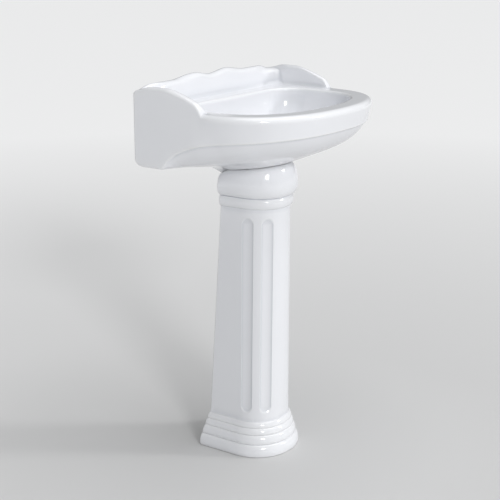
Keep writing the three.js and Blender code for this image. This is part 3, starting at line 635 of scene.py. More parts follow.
class BasinShape:
    """Every surface of the basin, worked out from its settings over one plan."""

    def __init__(self, s, plan):
        """Works out, for every place, what its rows share."""
        self.s, self.plan = s, plan
        self.x0, self.d0 = self.outer(0)
        self.bow = ease(s.wing_end - 0.030, s.wing_end + 0.040, self.d0)
        self.rise = self.panel_rise()
        self.edge = self.sill()
        self.taper = FACE_TAPER * self.bow
        corner, side_end = 0.062, 0.190
        self.bowl_x, self.bowl_d = plan.points(
            s.bowl_width / 2, s.bowl_back, corner, side_end, s.bowl_front, *BOWL_POWERS
        )
        self.reach = np.hypot(self.bowl_x, self.bowl_d - s.drain)

    def outer(self, e):
        """The outer outline inset by e. Inside corners are well rounded; the outside ones are crisp."""
        s, crisp, rounded = self.s, 0.007, 0.046
        r = lerp(crisp, rounded, ease(0.004, 0.030, e))
        return self.plan.points(s.width / 2 - e, e, r, s.wing_end, s.depth - e, *BOW_POWERS)

    def panel_rise(self):
        """Height of the panel, wings and rim above the ledge.

        Wings fall to the rim in a hollow curve. The panel swells into two humps, eased down at the corners.
        """
        s, across = self.s, np.abs(self.x0)
        full = s.wing_top - s.rim
        corner, corner_drop, hump_end, middle = 0.046, 0.009, 0.150, 0.15
        near = np.maximum(s.width / 2 - across, self.d0)
        drop = corner_drop * (1 - ease(0, corner, near))
        inner = lerp(middle, 1, ease(0, s.hump_place, across))
        outer = 1 - ease(s.hump_place, hump_end, across)
        panel = full - drop + s.hump * np.where(across > s.hump_place, outer, inner)
        wing = full * curve_through(WING_CURVE, self.d0)
        past = [self.d0 > place for place in (s.wing_end, WING_CURVE[0][0], corner)]
        return np.select(past, [0, wing, full], panel)

    def sill(self):
        """Bottom edge of the outer face: level under the panel, an arc up behind the wing, then the apron."""
        s, round_r = self.s, 0.020
        inside = np.minimum(round_r, np.maximum(s.width / 2 - np.abs(self.x0), self.d0))
        corner = round_r - np.sqrt(np.maximum(0, round_r**2 - (round_r - inside) ** 2))
        climb = np.where(self.d0 > SILL_CURVE[0][0], curve_through(SILL_CURVE, self.d0), 0)
        return s.sill + corner + climb

    def shell(self):
        """Rows from the bottom edge of the outer face, over the top, to the ledge.

        A row is an inset e and a height z at every place: a quarter round under the face; the face; a quarter
        round of radius roll over its top; a quarter ellipse down the inside; the panel's front; a hollow
        quarter ellipse at its foot.
        """
        s, share = self.s, self.plan.back_share()
        thick = lerp(lerp(s.wing_thickness, s.panel_thickness, share), s.rim_thickness, self.bow)
        wing_roll, panel_roll, rim_roll, lean = 0.008, 0.013, 0.012, 0.001
        roll = lerp(lerp(wing_roll, panel_roll, share), rim_roll, self.bow)
        top = s.rim + self.rise
        drop = np.minimum(thick - roll, self.rise / 2)
        cove = np.minimum(COVE, self.rise / 2)
        q = row_values(np.linspace(0, np.pi / 2, 8))
        face = row_values(np.linspace(0, 1, 12)[1:-1])
        front = row_values(np.linspace(0, 1, 6)[1:-1])
        e = [
            self.taper + EDGE_ROUND * (1 - np.sin(q)),
            self.taper * (1 - face),
            roll * (1 - np.cos(q)),
            roll + (thick - roll) * np.sin(q[1:]),
            thick + lean * front,
            thick + lean + COVE * (1 - np.cos(q)),
        ]
        z = [
            self.edge + EDGE_ROUND * (1 - np.cos(q)),
            lerp(self.edge + EDGE_ROUND, top - roll, face),
            top - roll * (1 - np.sin(q)),
            top - drop * (1 - np.cos(q[1:])),
            lerp(top - drop, s.rim + cove, front),
            s.rim + cove * (1 - np.sin(q)),
        ]
        x, d = self.outer(np.concatenate(e))
        return x, d, np.concatenate(z)

    def from_drain(self, k, z):
        """Places at k times the way from the drain to the bowl's opening, at a height."""
        return np.broadcast_arrays(self.bowl_x * k, lerp(self.s.drain, self.bowl_d, k), z)

    def ledge(self, shell):
        """Rows that cross the flat ledge from the panel's foot to the bowl's rounded lip."""
        t = row_values(np.linspace(0, 1, 8)[1:-1])
        lip_x, lip_d, _ = self.from_drain((self.reach + self.s.lip) / self.reach, 0)
        return lerp(shell[0][-1], lip_x, t), lerp(shell[1][-1], lip_d, t), self.s.rim + 0 * t * lip_x

    def bowl(self):
        """Rows down the lip, the bowl, the drain hole and out over the boss under it.

        The lip is a quarter round. The bowl's height over its floor, at a share p of the way out from the
        dish, is 0.15 p^1.3 + 0.85 (1 - (1 - p^2.3)^(1/2.3)).
        """
        s = self.s
        q = row_values(np.linspace(np.pi / 2, 0, 8))
        lip_share = (self.reach + s.lip * (1 - np.cos(q))) / self.reach
        lip = self.from_drain(lip_share, s.rim - s.lip * (1 - np.sin(q)))
        a = row_values(np.linspace(0, np.pi / 2, 52)[1:])
        p = np.cos(a).clip(0, 1) ** (2 / DISH_POWER)
        z = lerp(s.bowl_floor, s.rim - s.lip, bowl_height(p))
        bowl = self.from_drain(lerp(s.dish, self.reach, p) / self.reach, z)
        seat = s.bowl_floor - 0.004  # the rebate for the drain's flange
        section = [
            [s.dish, s.bowl_floor - 0.0015],
            [s.dish - 0.0007, seat + 0.0006],
            [s.dish - 0.0035, seat],
            [s.hole + 0.004, seat],
            [s.hole + 0.0006, seat - 0.0004],
            [s.hole, seat - 0.003],
            [s.hole, s.boss],
            [BOSS_RADIUS, s.boss],
        ]
        r, hole_z = np.array(section).T[:, :, None]
        hole = self.from_drain(r / self.reach, hole_z)
        return [np.concatenate(parts) for parts in zip(lip, bowl, hole)]

    def belly_at(self, t):
        """The underside, from t = 1 at the bottom edge of the outer face to t = 0 at the neck.

        In plan it is a straight blend of the two. Its height blends from the neck's to a slope that climbs
        to the front, fast at the sides and evenly in front, and turns to the outer edge in its last part.
        """
        s, side_start, front_start, climb = self.s, 0.075, 0.100, 0.047
        x, d = self.outer(self.taper + EDGE_ROUND)
        reach = np.abs(x / s.neck_x) ** NECK_POWER + np.abs((d - NECK_PLACE) / s.neck_d) ** NECK_POWER
        k = 1 / reach ** (1 / NECK_POWER)
        nx, nd = x * k, lerp(NECK_PLACE, d, k)
        forward = s.sill + climb * ease(side_start, s.depth, d)
        shape = lerp(1 - (1 - t) ** 2.2, t, ease(front_start, s.depth, d))
        z = lerp(joint_height(s, nd), forward, shape) + (self.edge - forward) * t**7
        return lerp(nx, x, t), lerp(nd, d, t), z

    def belly(self):
        """Rows from the boss, over the flat neck, and out to the bottom edge."""
        nx, nd, _ = self.belly_at(np.zeros((1, 1)))
        inner = row_values(np.linspace(0.62, 1, 7)[:-1])
        d = lerp(NECK_PLACE, nd, inner)
        neck = (nx * inner, d, joint_height(self.s, d))
        t = row_values(1 - (1 - np.linspace(0, 1, 46)[:-1]) ** CROWDING)
        return [np.concatenate(parts) for parts in zip(neck, self.belly_at(t))]

    def surface(self):
        """The whole outside as one grid that closes on itself both ways."""
        shell = self.shell()
        rows = zip(shell, self.ledge(shell), self.bowl(), self.belly())
        x, d, z = (np.concatenate(parts) for parts in rows)
        left = np.stack([x, WALL - d, z], -1)
        right = left[:, 1:-1][:, ::-1] * [-1, 1, 1]
        return np.concatenate([left, right], 1)

    def recess(self):
        """The open service recess between the panel, the wings and the bowl, as a bent block.

        v runs from the panel (0) to the back of the bowl (1), and w from its floor, or below it where it is
        open, to its roof. A row goes once round the block's four sides.
        """
        s, steps = self.s, (40, 10)
        side = [np.linspace(0, 1, n, endpoint=False) for n in steps]
        v = np.concatenate([side[0], np.ones(steps[1]), 1 - side[0], np.zeros(steps[1])])[:, None]
        w = np.concatenate([np.zeros(steps[0]), side[1], np.ones(steps[0]), 1 - side[1]])[:, None]
        panel, china, floor_china = 0.016, 0.009, 0.012  # what stays behind, in front of and below it
        lowest, roof = s.sill + 0.010, s.rim - 0.018
        ox, od = self.outer(panel)
        share = np.linspace(0.3, 1, 400)

        def across(z):
            rise = (z + china - s.bowl_floor) / (s.rim - s.lip - s.bowl_floor)
            k = (lerp(s.dish, self.reach, np.interp(rise, bowl_height(share), share)) + china) / self.reach
            return lerp(ox, self.bowl_x * k, v), lerp(od, lerp(s.drain, self.bowl_d, k), v)

        x, d = across(lowest + 0 * w)
        near, far = self.belly_at(np.zeros((1, 1))), self.belly_at(np.ones((1, 1)))
        t = np.hypot(x - near[0], d - near[1]) / np.hypot(far[0] - near[0], far[1] - near[1])
        below, closed = s.boss - 0.020, ease(0.062, 0.078, d)
        floor = lerp(below, self.belly_at(t.clip(0, 1))[2] + floor_china, closed)
        z = lerp(floor, roof, w)
        x, d = across(np.maximum(z, lowest))
        left = np.stack([x, WALL - d, z], -1)[:, ::-1]
        right = left[:, :-1][:, ::-1] * [-1, 1, 1]
        return np.concatenate([left, right], 1).swapaxes(0, 1)


def bowl_height(p):
    """Height of the bowl as a share of its depth, at a share p of the way out from the drain's dish."""
    hollow = 1 - np.clip(1 - p**DISH_POWER, 0, 1) ** (1 / DISH_POWER)
    return 0.15 * p**1.3 + 0.85 * hollow


def joint_height(s, d):
    """Height of the basin's neck over the pedestal: a plane rising to the front, drooping at the back."""
    slope, level_place, droop = 0.155, 0.120, 0.011
    return s.neck + slope * (np.maximum(d, 0.090) - level_place) - droop * ease(0.118, 0.090, d)


def level_rod(name, radius, near, far, x, z):
    """A plain cylinder that runs out from the wall."""
    rows = turned([[radius, near], [radius, far]], 0, 48)
    return capped_body(name, on_level_axis(rows, x, z))


def build_basin(context):
    """The china basin, with the recess, the half-pierced tap holes and the fixing holes taken out of it."""
    s = context.scene.sink_basin
    plan = Outline()
    basin = ring_body("basin_china", BasinShape(s, plan).surface())
    behind = plan.part((plan.run < SIDE) | ((plan.run == SIDE) & (plan.t < 0.8)))
    cutters = [capped_body("recess", BasinShape(s, behind).recess())]
    low, high = s.rim - 0.020, s.rim - 0.009
    for x in (-s.tap_spread, 0, s.tap_spread):
        hole = turned([[TAP_HOLE, low], [TAP_HOLE, high]], TAP_PLACE, 64, x)
        cutters.append(capped_body("tap_hole", hole))
    fixing = context.scene.sink_fixings
    near, far = -0.005, 0.030  # from behind the wall face to inside the recess
    for x in (-fixing.spread, fixing.spread):
        cutters.append(level_rod("fixing_hole", FIXING_HOLE, near, far, x, fixing.height))
    cut_away(basin, cutters)
    store_hollows(basin)
    points = point_array(basin.data)
    keep_attribute(basin.data, "bare", ease(WALL - 0.0006, WALL - 0.0001, points[:, 1]))
    furnish(basin, "basin", "china")


# ---- Pedestal ----------------------------------------------------------------------------------------------
# Moulded bands as (low z, high z, offset at low, offset at high, bulge): the base steps and the ring.
BANDS = np.array([
    [0.000, 0.030, 0.0195, 0.0155, 0.0066],
    [0.030, 0.052, 0.0145, 0.0098, 0.0049],
    [0.052, 0.068, 0.0095, 0.0050, 0.0041],
    [0.068, 0.082, 0.0050, 0.0004, 0.0036],
    [0.598, 0.624, -0.0004, 0.0014, 0.0074],
])
# The open back edges, as (height, distance from the wall).
CUT_BACK = np.array([
    [0, 0.046],
    [0.028, 0.047],
    [0.056, 0.054],
    [0.082, 0.060],
    [0.095, 0.062],
    [0.700, 0.098],
])
COLUMN_LOW, COLUMN_HIGH = 0.082, 0.590  # heights between which its width and front change
COLLAR_LOW, COLLAR_RISE = 0.624, 0.080  # the foot of the collar, and its height
FLUTE_CENTRES = (0.0515, 0.099)  # along the outline, from the front
FLUTE_LOW, FLUTE_HIGH = 0.104, 0.578
FRONT_POWER = 2.2  # of the superelliptic front
SIDE_LENGTH = 0.078  # along the outline, from the end of the curved front to the cut edge
CUT_ROUND = 0.004  # radius of the cut edge


class PedestalShape:
    """The pedestal: a column with a superelliptic front and flat sides, cut open at the back.

    A place is a distance s along the outline from the front centre, negative to the left, and a height z.
    """

    def __init__(self, s, joint):
        """Measures the curved front, so that places can be given as distances along it."""
        self.s, self.joint = s, joint
        self.power = 2 / FRONT_POWER
        self.middle = 0.152  # distance from the wall at which the curved front ends
        a = np.linspace(0, np.pi / 2, 400)
        w, f = 0.072, 0.0715  # half a width and a front at which distances are measured
        steps = np.hypot(np.diff(w * np.sin(a) ** self.power), np.diff(f * np.cos(a) ** self.power))
        self.arc = np.concatenate([[0], np.cumsum(steps)])
        self.angles = a
        self.total = self.arc[-1] + SIDE_LENGTH

    def plan(self, s, z):
        """(x, d) of the plain column.

        In front, x = w sin(a)^p and d = middle + f cos(a)^p, where a is read from the distance s; the side
        runs straight back from there to the cut edge. The width and the front change evenly with height.
        """
        t = ((z - COLUMN_LOW) / (COLUMN_HIGH - COLUMN_LOW)).clip(0, 1)
        foot_front, top_front = 0.222, 0.225
        w = lerp(self.s.foot_width, self.s.top_width, t) / 2
        f = lerp(foot_front, top_front, t) - self.middle
        a = np.interp(np.abs(s), self.arc, self.angles)
        side = ((np.abs(s) - self.arc[-1]) / (self.total - self.arc[-1])).clip(0, 1)
        back = np.interp(z, *CUT_BACK.T)
        x = np.sign(s) * w * np.sin(a) ** self.power
        d = self.middle + f * np.cos(a).clip(0, 1) ** self.power
        return x, np.where(side > 0, lerp(self.middle, back, side), d)

    def normal(self, s, z):
        """The outward direction in plan, square to the outline."""
        step = 2e-5
        (xa, da), (xb, db) = self.plan(s - step, z), self.plan(s + step, z)
        tx, td = xb - xa, db - da
        size = np.hypot(tx, td)
        return -td / size, tx / size

    def moulding(self, z):
        """Offset of the mouldings: half ellipses on the bands, and a full, high-shouldered collar."""
        out = np.zeros_like(z)
        for low, high, a, b, bulge in BANDS:
            t = ((z - low) / (high - low)).clip(0, 1)
            band = lerp(a, b, t) + bulge * np.sqrt(np.maximum(0, 1 - (2 * t - 1) ** 2))
            out = np.where((z >= low) & (z < high), band, out)
        t = ((z - COLLAR_LOW) / COLLAR_RISE).clip(0, 1)
        collar = lerp(0.003, -0.001, t) + self.s.collar * np.sin(np.pi * t**0.6)
        return np.where(z >= COLLAR_LOW, collar, out)

    def flutes(self, s, z):
        """Depth of the flutes: 1 - r^2 to the power 0.75, with r = 0 on the centre line and 1 at the edge."""
        half = self.s.flute_width / 2
        across = np.min([np.abs(np.abs(s) - c) for c in FLUTE_CENTRES], 0)
        run = np.maximum(0, np.maximum(FLUTE_LOW + half - z, z - FLUTE_HIGH + half))
        within = np.maximum(0, 1 - (across**2 + run**2) / half**2)
        return self.s.flute_depth * within**0.75

    def lifted(self, d, z):
        """Heights in the collar, lifted towards the sloping joint, ever more as they near it."""
        share = ((z - COLLAR_LOW) / COLLAR_RISE).clip(0, None) ** 2
        under = joint_height(self.joint, d) - self.s.joint_gap - 0.003 * ease(0.125, 0.095, d)
        return lerp(z, under, share)

    def wall(self, z):
        """How far the inner face lies inside the plain outline: less behind the collar and in the foot."""
        collar = (z > 0.600) & (z < 0.700)
        thinner = np.where(collar, self.moulding(z) * 0.7, np.maximum(0, 0.060 - z) * 0.12)
        return self.s.wall - thinner

    def surface(self, s, z):
        """Rows up the outside and down the inside, and the two rounded edges at the open back."""
        s, z = s[None, :], z[:, None]
        x, d = self.plan(s, z)
        nx, nd = self.normal(s, z)
        near_end = ((np.abs(s) - (self.total - CUT_ROUND)) / CUT_ROUND).clip(0, 1)
        lost = CUT_ROUND * (1 - np.sqrt(1 - near_end**2))
        out = self.moulding(z) - self.flutes(s, z)
        out = np.where(near_end > 0, out - lost, out)
        inset = self.wall(z) - lost
        outer = (x + out * nx, d + out * np.maximum(nd, 0))
        inner = (x - inset * nx, d - inset * nd)
        return [np.stack([px, WALL - pd, self.lifted(pd, z + 0 * pd)], -1) for px, pd in (outer, inner)]

    def body(self, name, s, z):
        """The whole closed body: the two faces, joined over the top, under the foot and at the back edges."""
        outer, inner = self.surface(s, z)
        points = np.concatenate([outer, inner[::-1]])
        rows, columns = points.shape[:2]
        faces = grid_faces(rows, columns, wrap_rows=True, wrap_columns=False)
        r = np.arange(len(z) - 1)
        ends = []
        for column, turn in ((0, 1), (columns - 1, -1)):
            loop = [r, r + 1, rows - 2 - r, rows - 1 - r][::turn]
            ends.append(np.stack(loop, -1) * columns + column)
        return mesh_object(name, points, [faces, *ends])


def pedestal_heights():
    """Heights of the rows: close together in the mouldings and at the flutes' ends, far apart between."""
    bands = [low + (high - low) * np.sin(np.linspace(0, np.pi / 2, 17)) ** 2 for low, high, *_ in BANDS]
    collar = COLLAR_LOW + COLLAR_RISE * np.linspace(0, 1, 45) ** 1.3
    ends = np.concatenate([np.linspace(0.101, 0.120, 16), np.linspace(0.562, 0.581, 16)])
    shaft = np.array([0.086, 0.092, 0.140, 0.190, 0.250, 0.310, 0.370, 0.430, 0.490, 0.540, 0.588, 0.594])
    return np.unique(np.concatenate([*bands, collar, ends, shaft]).round(6))


def pedestal_places(shape, half):
    """Distances along the outline: close together across each flute and at the back edges."""
    flute = np.sin(np.linspace(-np.pi / 2, np.pi / 2, 19)) * half
    flutes = [c + flute for c in FLUTE_CENTRES]
    spans = ((0, 0.035, 8), (0.067, 0.083, 5), (0.1145, shape.total - 0.005, 16))
    plain = [np.linspace(*span) for span in spans]
    edge = shape.total - CUT_ROUND * (1 - np.sin(np.linspace(0, np.pi / 2, 8)))
    right = np.unique(np.concatenate([*flutes, *plain, edge]).round(6))
    return np.concatenate([-right[:0:-1], right])


def build_pedestal(context):
    """The china pedestal, glazed outside and bare inside, under the foot and on its cut edges."""
    s = context.scene.sink_pedestal
    shape = PedestalShape(s, context.scene.sink_basin)
    places = pedestal_places(shape, s.flute_width / 2)
    heights = pedestal_heights()
    pedestal = shape.body("pedestal_china", places, heights)
    store_hollows(pedestal)
    bare = np.zeros((2 * len(heights), len(places)))
    bare[len(heights) :] = 1
    bare[0] = 1
    keep_attribute(pedestal.data, "bare", bare.ravel())
    furnish(pedestal, "pedestal", "china")


# ---- Joint pads --------------------------------------------------------------------------------------------
def build_pads(context):
    """The three rubber pads that the basin rests on: their shape is the frame's, with its own finish."""
    for node in ("front_pad", "left_pad", "right_pad"):
        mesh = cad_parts[node].data
        mesh.materials.clear()
        mesh.materials.append(material("rubber"))


# ---- Drain -------------------------------------------------------------------------------------------------
THREAD_R = 0.0194
SLEEVE = 19.7  # bore of the rings that go over the drain's thread, in millimetres


def drain_body_piece(s):
    """The flange and the threaded body under it, turned and then cut by a helical thread."""
    outline = [
        [16.5, 640],
        [19.4, 640],
        [19.4, 705.8],
        [31.5, 705.8],
        [31.5, 707],
        [29, 708.3],
        [24.5, 706.9],
        [17.5, 706.3],
        [16.5, 704.8],
    ]
    columns, low, high, depth = 72, 0.642, 0.699, 0.0008
    soft = softened(np.array(outline) * MM, 0.0006)
    fine = np.linspace(low - 0.0005, high + 0.0008, 230)
    side = np.stack([np.full(len(fine), THREAD_R), fine], -1)
    start = int(np.argmax((np.abs(soft[:, 0] - THREAD_R) < 1e-6) & (soft[:, 1] > low - 0.0008)))
    profile = np.concatenate([soft[:start], side, soft[start:]])
    r, z = profile[:, :1], profile[:, 1:]
    on_side = (np.abs(r - THREAD_R) < 1e-5) & (z < high + 0.001)
    cut = np.where(on_side, thread(z, once_round(columns, 1), low, high, s.pitch, depth), 0)
    points = turned(profile, s.distance, columns)
    return ring_body("drain_flange_and_body", drawn_in(points, s.distance, 1 - cut / r))


def bridge_piece(s):
    """The bar across the drain, with a round eye in its middle, as one closed grid about the eye.

    The bar's edge is at half its width over |sin(turn)|, no nearer than the eye's rim and no farther than
    the drain's bore.
    """
    bore, half, rim, eye, edge = 0.0166, 0.0035, 0.0075, 0.0043, 0.0005
    turn = once_round(96)[0]
    outer = np.maximum(rim, np.minimum(bore, half / np.maximum(np.abs(np.sin(turn)), 1e-3)))
    inner = np.full(len(turn), eye)
    radius = np.stack([outer, outer, outer - edge, inner, inner, outer - edge])
    heights = row_values(0.6686, 0.6734, 0.674, 0.674, 0.668, 0.668)
    points = point_grid(radius * np.cos(turn), WALL - s.distance + radius * np.sin(turn), heights)
    return ring_body("drain_bridge", points)


def build_drain(context):
    """The drain: flange and body, gaskets, friction washer and locknut."""
    s = context.scene.sink_drain
    d = s.distance
    furnish(drain_body_piece(s), "drain_body", "chrome")
    bridge = bridge_piece(s)
    bridge.data.materials.append(material("chrome"))
    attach(bridge, FIXED)
    gasket = plain_ring("flange_gasket_ring", SLEEVE, 31, 704.3, 705.5, d, 0.0003)
    furnish(gasket, "flange_gasket", "rubber")
    cone = [[SLEEVE, 672], [31, 672], [31, 675], [25, 679.7], [SLEEVE, 679.7]]
    furnish(turned_ring("tapered_gasket_ring", cone, d, 0.0007), "tapered_gasket", "rubber")
    washer = plain_ring("friction_washer_ring", SLEEVE, 31, 669.7, 671.7, d)
    furnish(washer, "friction_washer", "nylon")
    locknut = nut_points(6, 0.058, SLEEVE * MM, 0.660, 0.6694, 0.0022, 144)
    locknut[..., 1] -= d
    furnish(ring_body("drain_locknut_hexagon", locknut), "drain_locknut", "brass")


# ---- Stopper -----------------------------------------------------------------------------------------------
def coil_points(radius, wire, low, high, turns, d):
    """A round wire carried along a helix: each row is a small upright circle on the helix.

    The climb is eased a little, so that the end turns lie closer together.
    """
    t = np.linspace(0, 1, turns * 40)[:, None]
    easing = 0.12
    share = lerp(t, ease(0, 1, t), easing)
    a = t * turns * 2 * np.pi
    b = once_round(10)
    r = radius + wire * np.cos(b)
    z = lerp(low + wire, high - wire, share) + wire * np.sin(b)
    return point_grid(r * np.cos(a), WALL - d + r * np.sin(a), z)


def build_stopper(context):
    """The push-down stopper: domed cap, seal and plunger, with its cartridge and spring."""
    d = context.scene.sink_drain.distance
    stem = [[0, 700.3], [5, 700.3], [5, 708.2]]
    cap = [*stem, [23.2, 708.2], [24, 708.8], [21, 709.7], [15, 710.6], [8, 711.1], [0, 711.2]]
    furnish(turned_solid("stopper_domed_cap", cap, d, 0.0005), "stopper_cap", "chrome", STOPPER)
    seal = plain_ring("stopper_seal_ring", 18.5, 22.5, 707.1, 707.9, d, 0.0003)
    furnish(seal, "stopper_seal", "rubber", STOPPER)
    plunger = [[0, 681], [2.6, 681], [2.6, 688], [4.2, 688], [4.2, 700], [0, 700]]
    furnish(turned_solid("plunger_pin", plunger, d, 0.0003, 48), "stopper_plunger", "brass", STOPPER)
    sleeve = [[0, 661], [4, 661], [4, 674.3], [6.3, 674.3], [6.3, 697], [4.6, 697], [4.6, 677], [0, 677]]
    furnish(turned_solid("cartridge_sleeve", sleeve, d, 0.0003, 48), "cartridge_housing", "nylon")
    coil = capped_body("cartridge_coil", coil_points(0.0036, 0.0004, 0.6774, 0.6876, 5, d))
    furnish(coil, "cartridge_spring", "steel")


# ---- Trap --------------------------------------------------------------------------------------------------
TUBE, TUBE_BORE = 0.016, 0.0146  # radii of the tailpiece and the wall arm
BEND, BEND_BORE = 0.0186, 0.0164  # radii of the bend


def slip_nut(name, d, z):
    """A slip nut: an eight-sided skirt under a round shoulder, as a turned outline with flats.

    The flats take the radius down to the polygon's on the skirt only.
    """
    bore, seat_bore, outer, sides, across, columns = 18.9, 16.4, 24, 8, 0.0462, 144
    outline = [[bore, z - 11], [outer, z - 11], [outer, z + 10], [22, z + 12]]
    outline += [[seat_bore, z + 12], [seat_bore, z + 8], [bore, z + 8]]
    profile = softened(np.array(outline) * MM, 0.0009)
    skirt = (1 - ease((z + 5) * MM, (z + 8) * MM, profile[:, 1:])) * (profile[:, :1] > 0.021)
    flat = np.minimum(1, flats(once_round(columns, 1), sides, across) / (outer * MM))
    return ring_body(name, drawn_in(turned(profile, d, columns), d, lerp(1.0, flat, skirt)))


def bend(d, z, radius, start, stop, steps):
    """Places round a circular bend about (d, z), as the heading goes from start to stop."""
    a = np.linspace(start, stop, steps)
    return np.stack([d + radius * np.cos(a), z + radius * np.sin(a), a], -1)


def build_trap(context):
    """The tailpiece, the bend and the arm to the wall, with their nuts and washers."""
    d = context.scene.sink_drain.distance
    s = context.scene.sink_trap
    wall_leg, top = s.outlet, s.top
    straight = [[d, z, 0] for z in np.linspace(0.652, top - 0.020, 12)]
    tail = ring_body("tailpiece_tube", drawn_tube(straight, TUBE, TUBE_BORE))
    furnish(tail, "tailpiece", "chrome")

    nut = [[16.4, 628], [22, 628], [24, 630], [24, 648], [SLEEVE, 648], [SLEEVE, 634], [16.4, 634]]
    furnish(turned_ring("tailpiece_round_nut", nut, d, 0.0008), "tailpiece_nut", "chrome")
    seal = plain_ring("tailpiece_seal", 16.3, 19.3, 634.3, 639.7, d)
    furnish(seal, "tailpiece_washer", "rubber")

    radius, mouth = (d - wall_leg) / 2, top - 0.012
    turn = bend(d - radius, 0.420, radius, 0, -np.pi, 49) + [0, 0, np.pi]
    inlet, outlet = [[d, top, np.pi], [d, mouth, np.pi]], [[wall_leg, mouth, 0], [wall_leg, top, 0]]
    j_bend = drawn_tube(np.concatenate([inlet, turn, outlet]), BEND, BEND_BORE)
    furnish(ring_body("trap_j_bend", j_bend), "trap_bend", "chrome")

    elbow = 0.028
    arm = bend(wall_leg - elbow, 0.472, elbow, 0, np.pi / 2, 25)
    start = [[wall_leg, top - 0.020, 0], [wall_leg, top, 0]]
    route = np.concatenate([start, arm, [[0.050, 0.500, np.pi / 2]]])
    furnish(ring_body("trap_wall_arm", drawn_tube(route, TUBE, TUBE_BORE)), "trap_arm", "chrome")

    low = top / MM + 0.3
    for place, name in ((d, "trap_inlet"), (wall_leg, "trap_union")):
        furnish(slip_nut(f"{name}_slip_nut", place, top / MM), f"{name}_nut", "chrome")
        ring = plain_ring(f"{name}_seal", 16.3, 18.6, low, low + 7.4, place)
        furnish(ring, f"{name}_washer", "rubber")


# ---- Wall fixings ------------------------------------------------------------------------------------------
def stud_piece(name, x, z, length, pitch):
    """A threaded rod from the wall, with chamfered ends, under a helical thread."""
    radius, chamfer, depth, columns = 0.0049, 0.0006, 0.0007, 40
    h = np.linspace(0.001, length - 0.001, 150)
    h = row_values(0, chamfer, h, length - chamfer, length)
    end = np.maximum(0, chamfer - np.minimum(h, length - h))
    turn = once_round(columns, 1)
    r = radius - end - thread(h, turn, 0.0008, length - 0.0008, pitch, depth)
    a = turn * 2 * np.pi
    rows = point_grid(r * np.cos(a), WALL + r * np.sin(a), h)
    return capped_body(name, on_level_axis(rows, x, z))


def build_fixings(context):
    """The two wall fixings: stud, shouldered washer and nut."""
    s = context.scene.sink_fixings
    shoulder = np.array([[5.2, 4], [6.7, 4], [6.7, 16.3], [13, 16.3], [13, 18.5], [5.2, 18.5]]) * MM
    for side, x in (("left", -s.spread), ("right", s.spread)):
        stud = stud_piece(f"{side}_threaded_stud", x, s.height, 0.038, s.pitch)
        furnish(stud, f"{side}_hanger_stud", "steel")
        rows = turned(softened(shoulder, 0.0004), 0, 64)
        washer = ring_body(f"{side}_nylon_washer", on_level_axis(rows, x, s.height))
        furnish(washer, f"{side}_shoulder_washer", "nylon")
        rows = nut_points(6, 0.017, 0.0052, 0.0188, 0.027, 0.0014)
        nut = ring_body(f"{side}_hexagon_nut", on_level_axis(rows, x, s.height))
        furnish(nut, f"{side}_cap_nut", "steel")


# ---- Stage -------------------------------------------------------------------------------------------------
def look_at(thing, target):
    """Turns a lamp or a camera so that it looks at a point."""
    thing.rotation_euler = (Vector(target) - thing.location).to_track_quat("-Z", "Y").to_euler()


def soft_light(name, turn, height, strength, spread):
    """Even light from a round patch of the sky.

    Its turn from the front to the left, its height and its spread are in degrees.
    """
    data = bpy.data.lights.new(name, "SUN")
    data.energy, data.angle = strength, math.radians(spread)
    lamp = add_object(name, data)
    a, e, away = math.radians(turn), math.radians(height), 3
    lamp.location = (
        -math.cos(e) * math.sin(a) * away,
        -math.cos(e) * math.cos(a) * away,
        math.sin(e) * away,
    )
    look_at(lamp, (0, 0, 0))


def build_floor(size):
    """A level disc about the sink."""
    columns = 96
    a, r = once_round(columns), row_values(0.3, 1.0, 4.0, 14.0, size)
    disc = point_grid(r * np.cos(a), r * np.sin(a), 0 * r * a)
    flat = np.concatenate([disc.reshape(-1, 3), [[0, 0, 0]]])
    faces = [grid_faces(len(r), columns), pole_faces(0, columns, len(flat) - 1, upper=False)]
    floor = mesh_object("floor", flat, faces)
    floor.data.materials.append(material("floor"))


def build_sky(scene, s):
    """The same pale light from all round."""
    world = bpy.data.worlds.new("studio_sky")
    world.use_nodes = True
    background = world.node_tree.nodes["Background"]
    background.inputs["Color"].default_value = (*s.sky_colour, 1)
    background.inputs["Strength"].default_value = s.sky
    scene.world = world
    scene.view_settings.view_transform = "Standard"


def build_camera(scene, s):
    """The camera, at its place and turned to its heading."""
    data = bpy.data.cameras.new("camera")
    data.sensor_width, data.lens = 36.0, s.lens
    data.clip_end = 200
    camera = add_object("camera", data)
    camera.location = s.camera_place
    look_at(camera, Vector(s.camera_place) + Vector(s.camera_heading))
    scene.camera = camera


def build_stage(context):
    """A wide pale floor, soft lamps, an even sky and the camera."""
    s = context.scene.sink_stage
    build_floor(s.floor_size)
    soft_light("overhead", -20, 76, s.overhead, 60)
    soft_light("front_left", 35, 21, s.left, 12)
    soft_light("front_right", -35, 24, s.right, 9)
    build_sky(context.scene, s)
    build_camera(context.scene, s)


# ---- Settings ----------------------------------------------------------------------------------------------
def number(name, description, default, **more):
    """A setting that is a number."""
    return FloatProperty(name=name, description=description, default=default, **more)


def length(name, description, default):
    """A setting that is a length in metres."""
    return number(name, description, default, subtype="DISTANCE", unit="LENGTH", precision=4)


def vector(name, description, default, **more):
    """A setting that is a place, a direction or a colour."""
    return FloatVectorProperty(name=name, description=description, default=default, **more)


def colour(name, description, default):
    """A setting that is a colour."""
    return vector(name, description, default, subtype="COLOR", min=0, max=1)


